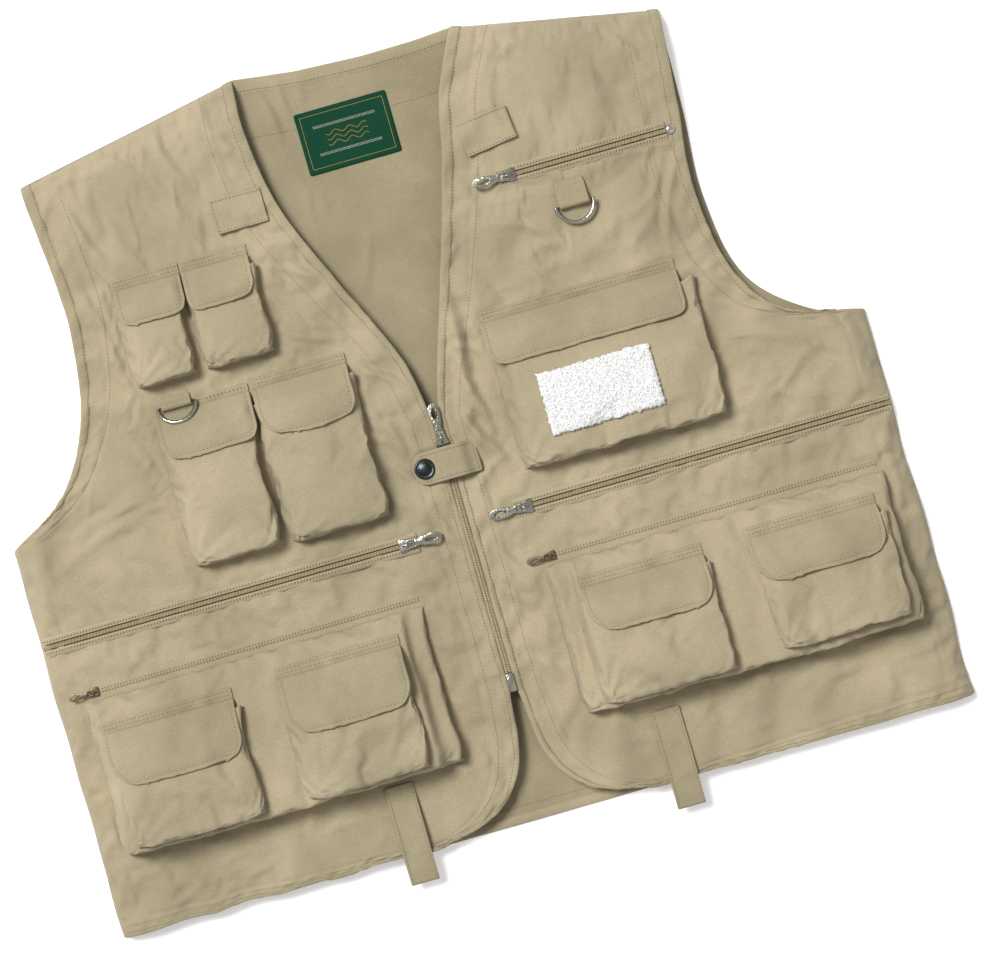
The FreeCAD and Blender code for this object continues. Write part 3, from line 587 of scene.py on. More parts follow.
    def edge_point(self, edge: Edge, share: float, inset: float, lift: float) -> Vector:
        """A point over the cloth, or past its edge where the inset is negative."""
        s, t = self.rim(edge, share, max(inset, 0.0))
        spot = self.at(s, t)
        if inset < 0:
            inner = self.at(*self.rim(edge, share, 2 * MM))
            out = spot - inner
            out.z = 0.0
            spot = spot + out.normalized() * -inset
        return spot + self.normal(s, t) * lift


@dataclass(frozen=True)
class Recipe:
    """Values for the cloth solver, in metres and Blender's own units."""
    growth: float = 0.02
    pressure: float = 0.0
    stiffness: float = 12.0
    bending: float = 0.6
    mass: float = 0.25
    quality: int = 5
    frames: int = 16
    cap: float = 5 * MM


class Seams:
    """Rows of sewn thread, gathered into one piece for each thread and body."""
    LONG = 0.95 * MM
    PITCH = 2.6 * MM

    def __init__(self, name: str, finish: Finish, body: str = ROOT, wide: float = 0.21 * MM) -> None:
        """Start an empty set of rows, with one stitch as the shape to repeat.

        Args:
            name: the piece's name.
            finish: the thread.
            body: the body that it rides on.
            wide: half the thread's width in metres.
        """
        self.name, self.finish, self.body, self.wide = name, finish, body, wide
        unit = bmesh.new()
        bmesh.ops.create_icosphere(unit, subdivisions=1, radius=1.0)
        self.unit = [vert.co.copy() for vert in unit.verts]
        self.sides = [[vert.index for vert in face.verts] for face in unit.faces]
        unit.free()
        self.spots: list[Vector] = []
        self.faces: list[list[int]] = []
        self.count = 0

    def row(self, path: Sequence[tuple[Vector, Vector]], pitch: float = PITCH, turn: bool = False,
            long: float = LONG) -> None:
        """Sew one row.

        Args:
            path: points on the cloth, each with the cloth's upward direction.
            pitch: distance from stitch to stitch.
            turn: True lays each stitch across the row.
            long: half a stitch's length.
        """
        due = pitch / 2
        for (a, up), (b, _) in zip(path, path[1:]):
            span = (b - a).length
            if span < 1e-7:
                continue
            ahead = (b - a) / span
            while due <= span:
                side = up.cross(ahead).normalized()
                main, other = (side, ahead) if turn else (ahead, side)
                centre = a + ahead * due + up * self.wide * 0.7
                self.stitch(centre, main * long, other * self.wide, up * self.wide)
                due += pitch
            due -= span

    def stitch(self, centre: Vector, main: Vector, other: Vector, up: Vector) -> None:
        """Add one stitch along its three half axes."""
        first = len(self.spots)
        self.spots.extend(centre + main * co.x + other * co.y + up * co.z for co in self.unit)
        self.faces.extend([first + index for index in face] for face in self.sides)
        self.count += 1

    def along(self, net: Net, edge: Edge, inset: float, start: float = 0.0, end: float = 1.0,
              lift: float = 0.0, steps: int = 90) -> None:
        """Sew a row at an inset from a net's edge."""
        path = []
        for share in spread(start, end, steps):
            s, t = net.rim(edge, share, inset)
            up = net.normal(s, t)
            path.append((net.at(s, t) + up * lift, up))
        self.row(path)

    def done(self) -> bpy.types.Object:
        """Make the piece, ride it on its body and report it."""
        mesh = bpy.data.meshes.new(self.name)
        mesh.from_pydata(self.spots, [], self.faces)
        mesh.update()
        bm = bmesh.new()
        bm.from_mesh(mesh)
        bpy.data.meshes.remove(mesh)
        bmesh.ops.recalc_face_normals(bm, faces=bm.faces)
        piece = to_object(bm, self.name)
        dress(piece, self.finish, self.body)
        log.info("%s: %d stitches", self.name, self.count)
        return piece


def ribbon(points: list[list[Vector]], name: str, finish: Finish, node: str = "", thickness: float = 0.0,
           levels: int = 1) -> bpy.types.Object:
    """A narrow tape made from rows of profile points, given a thickness if it has none of its own.

    Args:
        points: rows of points, one row for each place along the tape.
        name: the piece's name.
        finish: its finish.
        node: the node that it stands for, if it has one.
        thickness: in metres; 0 leaves the tape as a folded skin.
        levels: subdivision.
    Returns:
        The piece.
    """
    piece = to_object(Net(points).mesh(), name)
    thicken(piece, thickness, levels)
    dress(piece, finish, ROOT, node)
    log.info("%s: tape", name)
    return piece


def ground(trees: Iterable[BVHTree], across: float, up: float, default: float) -> float:
    """Height of the highest cloth under a plan point, in metres.

    Args:
        trees: the cloths that may lie there.
        across: x in metres.
        up: y in metres.
        default: the answer where there is none.
    Returns:
        The height.
    """
    best = None
    for tree in trees:
        hit = tree.ray_cast(Vector((across, up, 0.2)), Vector((0.0, 0.0, -1.0)))
        if hit[0] is not None and (best is None or hit[0].z > best):
            best = hit[0].z
    return default if best is None else best


def ripple(across: float, up: float, seed: float, size_mm: float, rise_mm: float) -> float:
    """A smooth random height in metres, the same on each run."""
    spot = Vector((across / (size_mm * MM), up / (size_mm * MM), seed))
    return noise.noise(spot) * rise_mm * MM


CREASE_GAIN = 1.5       # how much higher a fold stands than its listed rise, so that it reads in soft light


@dataclass(frozen=True)
class Crease:
    """A soft fold line in washed cloth, in millimetres off the centre line and up from the hem."""
    start: tuple[float, float]
    end: tuple[float, float]
    rise: float
    width: float
    bend: float = 0.0

    def press(self, net: Net, share: Callable[[Vector], float]) -> None:
        """Raise the fold in a net.

        Args:
            net: the cloth.
            share: how much of the fold each point takes.
        """
        (x0, y0), (x1, y1) = self.start, self.end
        reach = math.hypot(x1 - x0, y1 - y0)
        ux, uy = (x1 - x0) / reach, (y1 - y0) / reach
        margin = 3.5 * self.width + abs(self.bend)
        left, right = min(x0, x1) - margin, max(x0, x1) + margin
        low, high = min(y0, y1) - margin, max(y0, y1) + margin
        for row in net.points:
            for spot in row:
                x, y = spot.x / MM, (spot.y - HEM) / MM
                if not (left < x < right and low < y < high):
                    continue
                k = ((x - x0) * ux + (y - y0) * uy) / reach
                if not 0.0 < k < 1.0:
                    continue
                swell = math.sin(math.pi * k)
                off = ((y - y0) * ux - (x - x0) * uy - self.bend * swell) / self.width
                fold = math.exp(-off * off) - 0.55 * math.exp(-((off - 1.7) / 1.3) ** 2)
                spot.z += CREASE_GAIN * self.rise * MM * swell ** 0.8 * fold * share(spot)


def scatter(seed: int, count: int, box: tuple[float, float, float, float], heading: float, rise: float,
            length: float) -> list[Crease]:
    """Random creases over a part of the cloth.

    Args:
        seed: start of the random run.
        count: how many.
        box: left, low, right and high in millimetres.
        heading: their mean direction in degrees.
        rise: the highest one in millimetres.
        length: the longest one.
    Returns:
        The creases.
    """
    picks = random.Random(seed)
    found = []
    for _ in range(count):
        x, y = picks.uniform(box[0], box[2]), picks.uniform(box[1], box[3])
        angle = math.radians(heading + picks.gauss(0.0, 22.0))
        reach = length * picks.uniform(0.35, 1.0)
        end = (x + reach * math.cos(angle), y + reach * math.sin(angle))
        found.append(Crease((x, y), end, rise * picks.uniform(0.35, 1.0), picks.uniform(2.2, 4.2),
                            picks.uniform(-6.0, 6.0)))
    return found


def drift(across: float, up: float) -> tuple[float, float]:
    """How far the side seams and hem wander from their straight lines, in millimetres."""
    side = min(max((abs(across) - 296.0) / 26.0, 0.0), 1.0) ** 2
    foot = min(max((16.0 - up) / 16.0, 0.0), 1.0) * (abs(across) > 90)
    way = math.copysign(1.0, across)
    return (side * way * ripple(0.0, up * MM, 5.0 + way, 52.0, 2.6) / MM - side * way * 1.0,
            foot * abs(ripple(across * MM, 0.0, 8.0, 50.0, 4.0)) / MM)


# ------------------------------------------------------------------ the shell
class Side(Enum):
    """The wearer's sides, by the sign of X."""
    RIGHT = -1
    LEFT = 1

    @property
    def word(self) -> str:
        """The side's name as the frame's nodes use it."""
        return self.name.lower()


@dataclass
class FrontShape:
    """Plan shape of one front in millimetres from the centre line and the hem."""
    neck: tuple[float, float]
    tip: tuple[float, float]
    arm: tuple[tuple[float, float], ...]
    vee: tuple[tuple[float, float], ...]
    half: float = 322.0
    gap: float = 3.5
    underarm: float = 290.0
    vee_foot: float = 300.0
    corner_rise: float = 96.0
    corner_run: float = 80.0
    top: float = 14.0
    seam: float = 3.0
    side_roll: float = 22.0
    shoulder_roll: float = 34.0

    def inner(self) -> list[Route]:
        """The front's centre edge in three parts: round corner, straight and neck."""
        corner = Route([(self.corner_run, 0.0), (36, 13), (12, 42), (self.gap, self.corner_rise)])
        straight = Route([(self.gap, self.corner_rise), (self.gap, self.vee_foot)], smooth=False)
        neck = Route([(self.gap, self.vee_foot), *reversed(self.vee), self.neck])
        return [corner, straight, neck]

    def outer(self) -> list[Route]:
        """The side seam in two parts, then the armhole."""
        low = Route([(self.half, 0.0), (self.half, self.corner_rise)], smooth=False)
        high = Route([(self.half, self.corner_rise), (self.half, self.underarm)], smooth=False)
        arm = Route([(self.half, self.underarm), *reversed(self.arm), self.tip])
        return [low, high, arm]

    def height(self, across: float, up: float) -> float:
        """Height of the cloth's outer face over a plan point, in millimetres."""
        def roll(distance: float, reach: float) -> float:
            k = 1 - min(max(distance / reach, 0.0), 1.0)
            return math.sqrt(1 - k * k)
        (nx, ny), (tx, ty) = self.neck, self.tip
        seam_y = ny + (ty - ny) * (across - nx) / (tx - nx)
        factor = roll(self.half - across, self.side_roll) * roll(seam_y - up, self.shoulder_roll)
        return self.seam + (self.top - self.seam) * factor


SHAPES = {
    Side.RIGHT: FrontShape((76, 575), (243, 542), ((236, 465), (236, 425), (247, 365), (276, 317)),
                           ((77, 535), (68, 478), (42, 414), (12, 346))),
    Side.LEFT: FrontShape((88, 569), (236, 540), ((229, 465), (224, 410), (234, 345), (262, 307)),
                          ((67, 521), (57, 478), (36, 408), (12, 334))),
}
NOMINAL = 300.0      # width that a front's columns are spaced for; each row is then fitted to its own width
FACING = (3.0, 6.5, 9.5, 13.0, 17.0, 20.0, 23.0)      # insets of a front's edge, binding and facing rows
HEM_ROWS = (3.0, 6.0, 9.0, 12.0, 15.0)      # heights of the hem's rows over the edge
SEWN_SHARE = 0.02      # cloth less free than this is held still


@dataclass
class Front:
    """One front panel with its bindings, facing rows and hem."""
    side: Side
    cell: float = 4.6
    cloth: float = 1.3 * MM
    net: Net = field(init=False)

    def build(self) -> None:
        """Lay out, simulate and finish the panel."""
        shape = SHAPES[self.side]
        sign = self.side.value
        places = stations(NOMINAL, self.cell, FACING, FACING)
        foot = [y / shape.corner_rise for y in stations(shape.corner_rise, self.cell, HEM_ROWS)]
        middle, top = spread(0.0, 1.0, 42)[1:], spread(0.0, 1.0, 62)[1:]
        points = []
        for inside, outside, shares in zip(shape.inner(), shape.outer(), (foot, middle, top)):
            for share in shares:
                line = []
                for spot in self._row(inside.at(share), outside.at(share), places):
                    dx, dy = drift(sign * spot.x, spot.y)
                    laid = plan(sign * spot.x + dx, spot.y + dy, shape.height(spot.x, spot.y))
                    laid.z += ripple(laid.x, laid.y, 3.0 * sign, 34.0, 0.8) * self._free(laid)
                    line.append(laid)
                points.append(line)
        self.net = Net(points)
        last_row, last_column = self.net.rows, self.net.columns
        self.net.simulate(lambda i, j: 1.0 if i in (0, last_column) or j in (0, last_row)
                          or self._free(points[j][i]) < SEWN_SHARE else 0.0,
                          Recipe(growth=0.022, bending=0.9, frames=14, cap=4.0 * MM))
        self._sew_rows(places)
        self.net.refine()
        for crease in CREASES[self.side]:
            crease.press(self.net, self._free)
        piece = to_object(self.net.mesh(), self.side.word + "_front_cloth")
        thicken(piece, self.cloth, 0)
        dress(piece, SHELL, ROOT, self.side.word + "_front")
        self.net.declare(piece, "laid", "back_panel_cloth", self._bind())
        log.info("%s front: %d by %d cells", self.side.word, self.net.columns, self.net.rows)

    @staticmethod
    def _row(a: Vector, b: Vector, places: list[float]) -> list[Vector]:
        """Points of one row, with true insets near both ends."""
        length = (b - a).length
        edge = FACING[-1]
        row = []
        for place in places:
            if place <= edge:
                inset = place
            elif place >= NOMINAL - edge:
                inset = length - (NOMINAL - place)
            else:
                inset = edge + (place - edge) / (NOMINAL - 2 * edge) * (length - 2 * edge)
            row.append(a.lerp(b, inset / length))
        return row

    @staticmethod
    def _free(spot: Vector) -> float:
        """How free the cloth is here: 0 under a pocket or on a zip, 1 away from them."""
        worst = 1.0
        pad = 2 * MM
        for low, high in SEWN_TO_FRONTS:
            dx = max(low[0] - pad - spot.x, spot.x - high[0] - pad, 0.0)
            dy = max(low[1] - pad - spot.y, spot.y - high[1] - pad, 0.0)
            worst = min(worst, math.hypot(dx, dy) / (9 * MM))
        return min(worst, 1.0)

    def _sew_rows(self, places: list[float]) -> None:
        """Press the rows of stitching into the cloth, with small puckers beside them."""
        columns = {places.index(20.0): 0.55, places.index(NOMINAL - 20.0): 0.55, places.index(9.5): 0.2}
        for j, row in enumerate(self.net.points):
            for i, depth in columns.items():
                row[i].z -= depth * MM
            pucker = 0.45 * MM * math.sin(j * 1.9 + 1.3 * math.sin(j * 0.37))
            for inset in (13.0, 17.0):
                row[places.index(inset)].z += pucker
                row[places.index(NOMINAL - inset)].z += pucker * 0.8
        for j, inset in enumerate((0.0, *HEM_ROWS)):
            for i, spot in enumerate(self.net.points[j]):
                if inset == 12.0:
                    spot.z -= 0.5 * MM
                elif inset in (6.0, 9.0):
                    spot.z += 0.5 * MM * math.sin(i * 1.7 + 1.1 * math.sin(i * 0.31)) + 0.2 * MM

    def _bind(self) -> list[bpy.types.Object]:
        """The tape folded over the front edge, hem and armhole, and the rows that hold it."""
        profile = ((-0.6, -1.5), (-1.1, -0.6), (-0.9, 0.4), (0.2, 0.95), (2.4, 1.05), (4.8, 0.9), (6.0, 0.1))
        trim = []
        word = self.side.word
        parts = ((Edge.START, 0.0, 1.0, "edge_binding", 260), (Edge.FOOT, 0.0, 0.985, "hem_binding", 120),
                 (Edge.END, 0.565, 1.0, "armhole_binding", 150))
        for edge, start, end, label, steps in parts:
            rows = [[self.net.edge_point(edge, share, inset * MM, lift * MM) for inset, lift in profile]
                    for share in spread(start, end, steps)]
            node = "" if label == "hem_binding" else "%s_%s" % (word, label)
            trim.append(ribbon(rows, "%s_%s_tape" % (word, label), TAPE, node))
        seams = Seams(word + "_front_stitching", THREAD)
        for inset in (5.0, 20.0):
            seams.along(self.net, Edge.START, inset * MM, lift=(1.1 if inset < 6 else 0.1) * MM, steps=240)
        seams.along(self.net, Edge.END, 5.0 * MM, 0.565, 1.0, 1.1 * MM, 150)
        seams.along(self.net, Edge.END, 20.0 * MM, 0.6, 0.96, 0.1 * MM, 150)
        seams.along(self.net, Edge.FOOT, 4.8 * MM, 0.0, 0.98, 1.1 * MM, 120)
        seams.along(self.net, Edge.FOOT, 12.0 * MM, 0.0, 0.98, 0.1 * MM, 120)
        trim.append(seams.done())
        return trim


SEWN_TO_FRONTS = [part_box(node) for node in (
    "right_fly_pocket_outer", "right_fly_pocket_inner", "right_mid_pocket_outer", "right_mid_pocket_inner",
    "left_chest_pocket", "right_bellows_pocket", "left_bellows_pocket",
    "right_fly_flap_outer", "right_fly_flap_inner", "right_mid_flap_outer", "right_mid_flap_inner",
    "left_chest_flap", "chest_zip_chain", "left_waist_zip_chain", "right_waist_zip_chain",
    "left_bellows_zip_chain", "right_bellows_zip_chain",
)]


CREASES = {
    Side.RIGHT: [
        Crease((-93, 440), (-38, 405), 1.5, 3.0, 5.0), Crease((-97, 395), (-40, 372), 1.7, 2.8, -4.0),
        Crease((-48, 350), (-10, 322), 1.8, 2.6, 3.0), Crease((-46, 318), (-28, 276), 1.4, 3.0, 4.0),
        Crease((-52, 300), (-12, 246), 1.7, 3.2, -5.0), Crease((-30, 250), (-8, 190), 1.3, 3.4, 4.0),
        Crease((-226, 470), (-205, 350), 1.5, 3.2, 6.0), Crease((-214, 520), (-196, 468), 1.3, 3.0, -3.0),
        Crease((-218, 350), (-200, 290), 1.3, 3.2, 4.0), Crease((-300, 262), (-210, 292), 1.3, 3.6, 5.0),
        Crease((-205, 305), (-190, 240), 1.2, 3.0, -4.0), Crease((-190, 555), (-150, 505), 1.2, 3.4, 6.0),
        Crease((-235, 530), (-190, 538), 1.2, 3.0, 3.0), Crease((-140, 560), (-120, 500), 1.1, 3.4, -5.0),
        *scatter(21, 12, (-230, 480, -100, 560), -60.0, 0.7, 50.0),
        *scatter(26, 14, (-232, 528, -92, 545), 78.0, 1.1, 26.0),
        *scatter(22, 16, (-300, 225, -60, 300), 12.0, 1.0, 60.0),
        *scatter(23, 18, (-312, 8, -40, 50), 6.0, 1.0, 48.0),
        *scatter(24, 12, (-100, 380, -50, 470), -50.0, 1.0, 36.0),
        *scatter(25, 12, (-38, 100, -12, 300), 82.0, 1.0, 40.0),
    ],
    Side.LEFT: [
        Crease((31, 392), (23, 280), 3.8, 5.0, 3.0), Crease((24, 330), (37, 272), 2.4, 3.0, 3.0),
        Crease((18, 298), (48, 250), 2.6, 3.4, -3.0), Crease((24, 347), (48, 334), 2.2, 2.8, 2.0),
        Crease((12, 240), (46, 262), 1.4, 2.8, 3.0), Crease((62, 436), (150, 424), 1.3, 3.4, 7.0),
        Crease((70, 425), (120, 400), 1.2, 3.2, 5.0), Crease((196, 372), (226, 442), 1.7, 3.0, 5.0),
        Crease((200, 362), (250, 392), 1.6, 3.0, -4.0), Crease((206, 345), (262, 352), 1.4, 3.2, 5.0),
        Crease((208, 300), (300, 262), 1.4, 3.6, 8.0), Crease((212, 270), (290, 236), 1.2, 3.4, -6.0),
        Crease((306, 210), (298, 120), 1.5, 3.8, 5.0), Crease((190, 540), (214, 490), 1.2, 3.2, 5.0),
        Crease((8, 150), (32, 128), 1.6, 2.6, 2.0), Crease((10, 172), (34, 150), 1.5, 2.4, -2.0),
        Crease((12, 200), (34, 168), 1.4, 2.6, 2.0), Crease((14, 118), (40, 92), 1.4, 2.8, 2.0),
        *scatter(31, 13, (80, 470, 215, 555), -40.0, 0.8, 52.0),
        *scatter(36, 14, (96, 528, 225, 545), 100.0, 1.1, 26.0),
        *scatter(32, 14, (55, 372, 200, 425), 6.0, 0.9, 52.0),
        *scatter(33, 16, (205, 235, 300, 330), -18.0, 1.0, 56.0),
        *scatter(34, 18, (50, 8, 300, 50), 2.0, 1.0, 48.0),
        *scatter(35, 16, (10, 90, 38, 330), 70.0, 1.2, 36.0),
    ],
}


BACK_CREASES = [
    Crease((18, 552), (84, 520), 2.2, 3.4, 4.0), Crease((28, 536), (84, 498), 1.7, 3.2, -4.0),
    Crease((-62, 566), (-52, 522), 2.0, 2.8, 3.0), Crease((-44, 567), (-38, 530), 1.5, 2.6, -2.0),
    Crease((-30, 566), (-28, 545), 1.2, 2.2), Crease((-10, 400), (30, 352), 1.5, 3.6, 4.0),
    Crease((50, 500), (66, 440), 1.3, 3.6, 5.0), Crease((-70, 500), (-40, 430), 1.4, 4.2, -6.0),
    *scatter(41, 12, (-60, 380, 70, 540), -65.0, 1.2, 60.0),
    *scatter(42, 8, (-60, 6, 60, 40), 80.0, 1.0, 36.0),
]


@dataclass
class Back:
    """The back panel, which shows inside the neck and between the fronts' round corners."""
    columns: int = 108
    side_steps: int = 48
    arm_steps: int = 44
    lowest: float = 1.3
    net: Net = field(init=False)

    def build(self) -> None:
        """Lay out and finish the panel with its neck binding and yoke seam."""
        right, left = SHAPES[Side.RIGHT], SHAPES[Side.LEFT]
        half, under = right.half, right.underarm
        arms = ((284, 301), (244, 338), (231, 400), (234, 465))
        left_arm = Route([(half, under), *arms, left.tip])
        right_arm = Route([(-x, y) for x, y in ((half, under), *arms, right.tip)])
        rows = [(Vector((-half, under * share)), Vector((half, under * share)), 0.0)
                for share in spread(0.0, 1.0, self.side_steps)]
        rows += [(right_arm.at(share), left_arm.at(share), share)
                 for share in spread(0.0, 1.0, self.arm_steps)[1:]]
        points = []
        for a, b, share in rows:
            line = []
            for place in spread(0.0, 1.0, self.columns):
                spot = a.lerp(b, place)
                spot.y += self._top_bend(spot.x) * share ** 6
                high = 1.4 + ripple(spot.x * MM, spot.y * MM, 9.0, 55.0, 1.0)
                dx, dy = drift(spot.x, spot.y)
                line.append(plan(spot.x + dx, spot.y + dy, max(high, self.lowest)))
            points.append(line)
        self.net = Net(points)
        for row in self.net.points:
            for spot in row:
                spot.z += max(0.0, ripple(spot.x, spot.y, 21.0, 60.0, 1.6))
        self.net.refine()
        for crease in BACK_CREASES:
            crease.press(self.net, lambda spot: 1.0)
        for row in self.net.points:
            for spot in row:
                spot.z = max(spot.z, self.lowest * MM)
        piece = to_object(self.net.mesh(), "back_panel_cloth")
        thicken(piece, 1.2 * MM, 0)
        # The inside cloth is painted darker, partly to stand for the shade that the fronts cast on the back.
        dress(piece, WRONG_SIDE_AND_SHADE, ROOT, "back_panel")
        self.net.declare(piece, "laid", "floor", self._trim())
        log.info("back panel: %d by %d cells", self.net.columns, self.net.rows)

    @staticmethod
    def _top_bend(across: float) -> float:
        """Rise of the shoulder and neck line over the straight line between the shoulder tips, in mm."""
        right, left = SHAPES[Side.RIGHT], SHAPES[Side.LEFT]
        base = 541.0
        stops = ((-right.tip[0], right.tip[1]), (-right.neck[0], right.neck[1]), (-30, 569), (20, 566.5),
                 (60, 567), left.neck, left.tip)
        for (x0, y0), (x1, y1) in zip(stops, stops[1:]):
            if x0 <= across <= x1:
                return y0 + (y1 - y0) * (across - x0) / (x1 - x0) - base
        return 0.0

    def _trim(self) -> list[bpy.types.Object]:
        """Neck binding, hem binding and the rows along them."""
        profile = ((-0.6, -1.0), (-1.1, 0.0), (-0.4, 0.9), (2.4, 1.1), (5.0, 0.9), (6.0, 0.1))
        trim = []
        for edge, start, length, steps, name in ((Edge.HEAD, 0.345, 0.35, 60, "back_neck_binding"),
                                                 (Edge.FOOT, 0.0, 1.0, 120, "back_hem_binding")):
            rows = [[self.net.edge_point(edge, start + length * k / steps, inset * MM, lift * MM)
                     for inset, lift in profile] for k in range(steps + 1)]
            trim.append(ribbon(rows, name, TAPE))
        seams = Seams("back_stitching", THREAD)
        seams.along(self.net, Edge.HEAD, 4.8 * MM, 0.345, 0.695, 1.1 * MM)
        seams.along(self.net, Edge.HEAD, 26 * MM, 0.33, 0.67, 0.1 * MM)
        seams.along(self.net, Edge.FOOT, 12 * MM, lift=0.1 * MM, steps=120)
        trim.append(seams.done())
        return trim


# ------------------------------------------------------------------ pockets
# Place and height of a wide wall folded once, as shares.
GUSSET = ((0.0, 0.0), (0.04, 0.3), (0.1, 0.52), (0.2, 0.63), (0.36, 0.6), (0.52, 0.59), (0.68, 0.7),
          (0.8, 0.88), (0.92, 1.0))


@dataclass
class Pocket:
    """A filled, gusseted pocket: its walls round over into a face, open or zipped at its top."""
    node: str
    mouth: float
    deep: float
    turn_left: float = 10.0
    turn_right: float = 7.0
    turn_foot: float = 7.0
    crown: float = 2.6
    slope: float = 1.3
    cell: float = 3.6
    zipped: bool = False
    seed: float = 1.0
    folds: tuple[float, float] = (1.5, 0.8)
    recipe: Recipe = Recipe(growth=0.03, pressure=0.9, bending=0.9, frames=14, cap=4.0 * MM)
    net: Net = field(init=False)
    turns: int = 7
    overhang: float = 4.0
    fold_from: float = 18.0

    def build(self, under: list[BVHTree]) -> None:
        """Lay out the pocket on the cloth below it, fill it out and finish it.

        Args:
            under: the cloths that it is sewn to.
        """
        low, _, wide, tall = size_of(self.node)
        square = 4.2 if self.turn_right < self.fold_from else 2.6
        across = self._section(wide, (self.turn_left, 2.0), (self.turn_right, square))
        along = self._section(tall, (self.turn_foot, 3.6), (14.0, 2.0) if self.zipped else (0.0, 1.0))
        self.net = Net([[self._spot(x, y, a, b, wide, tall, low, under) for x, a in across]
                        for y, b in along])
        last_column, last_row = self.net.columns, self.net.rows
        mouth_hold = 1.0 if self.zipped else 0.35

        def hold(i: int, j: int) -> float:
            return 1.0 if i in (0, last_column) or j == 0 else (mouth_hold if j == last_row else 0.0)

        self.net.simulate(hold, self.recipe)
        self.net.refine()
        piece = to_object(self.net.mesh(), self.node + "_cloth")
        thicken(piece, 0.8 * MM, 0)
        dress(piece, SHELL, ROOT, self.node)
        self.net.declare(piece, "folded", "left_front_cloth", self._stitch())
        log.info("%s: %d by %d cells", self.node, self.net.columns, self.net.rows)

    def _section(self, size: float, start: tuple[float, float],
                 end: tuple[float, float]) -> list[tuple[float, float]]:
        """Places across the pocket with the share of full height at each.

        Args:
            size: the whole width in millimetres.
            start: reach and squareness of the wall at the start.
            end: the same at the end.
        Returns:
            Pairs of place and share of height.
        """
        def wall(reach: float, power: float) -> list[tuple[float, float]]:
            if reach >= self.fold_from:
                return [(place * reach, share) for place, share in GUSSET]
            turned = []
            for k in range(self.turns):
                angle = math.pi / 2 * k / self.turns
                turned.append((reach * (1 - math.cos(angle) ** (2 / power)), math.sin(angle) ** (2 / power)))
            return turned
        first = wall(*start) if start[0] else []
        last = [(size - place, share) for place, share in reversed(wall(*end))] if end[0] else []
        face = stations(size - start[0] - end[0], self.cell)
        return first + [(start[0] + place, 1.0) for place in face] + last

    def _spot(self, x: float, y: float, a: float, b: float, wide: float, tall: float, low: Vector,
              under: list[BVHTree]) -> Vector:
        """One point of the filled pocket, with the slack of its sides and the folds at its corners."""
        inner = a * b
        side, rise = 2 * x / wide - 1, y / tall
        slack = ripple(x * MM, y * MM, self.seed, 26.0, 2.4)
        tuck = 2.6 * math.exp(-(y / 9.0) ** 2) * side ** 3
        ear = math.exp(-((wide - x) / 7.0) ** 2 - ((tall - y) / 9.0) ** 2) * (not self.zipped)
        under_side = self.overhang * max(0.0, 1 - a / 0.5) * b * (side > 0)
        under_foot = self.overhang * max(0.0, 1 - b / 0.5) * a * (rise < 0.5)
        px = low[0] + (x - tuck - under_side + 1.5 * ear + slack * side ** 2 / MM * 0.4) * MM
        py = low[1] + (y + under_foot + 3.5 * ear + 1.8 * side ** 4 * math.exp(-(y / 12.0) ** 2)) * MM
        base = ground(under, px, py, low[2])
        height = (self.deep + (self.mouth - self.deep) * rise ** self.slope) * inner
        height += self.crown * math.cos(math.pi * side / 2) * math.sin(math.pi * (0.12 + 0.76 * rise)) * inner
        height += 2.2 * ear * inner
        height += self._folds(x, y, wide) * min(1.0, 3.2 * inner * (1.15 - inner) + 0.25)
        lump = ripple(px, py, self.seed, 24.0, 1.0) + ripple(px, py, self.seed + 3, 9.0, 0.2)
        return Vector((px, py, base + 0.3 * MM + height * MM + lump * inner))

    def _folds(self, x: float, y: float, wide: float) -> float:
        """Folds that fan out from the bottom corners, and puckers along the bottom seam, in millimetres."""
        rise = 0.0
        for corner, strength in zip((3.0, wide - 3.0), self.folds):
            dx, dy = x - corner, y - 2.0
            reach, angle = math.hypot(dx, dy), math.atan2(dy, dx)
            wave = math.sin(angle * 11 + self.seed) + 0.6 * math.sin(angle * 19 + 2 * self.seed)
            rise += strength * math.exp(-reach / 15.0) * wave * min(reach / 5.0, 1.0)
        puckers = math.sin(x * 0.71 + 2.3 * math.sin(x * 0.19 + self.seed))
        return rise + 0.6 * math.exp(-y / 8.0) * puckers

    def _stitch(self) -> list[bpy.types.Object]:
        """The hem row of the mouth, or the row below the zip."""
        seams = Seams(self.node + "_stitching", THREAD)
        edge = 2 * (self.turns + 1) / self.net.columns
        inset = 3.2 * MM if self.zipped else 8 * MM
        seams.along(self.net, Edge.HEAD, inset, edge, 1 - edge, 0.12 * MM, 60)
        return [seams.done()]


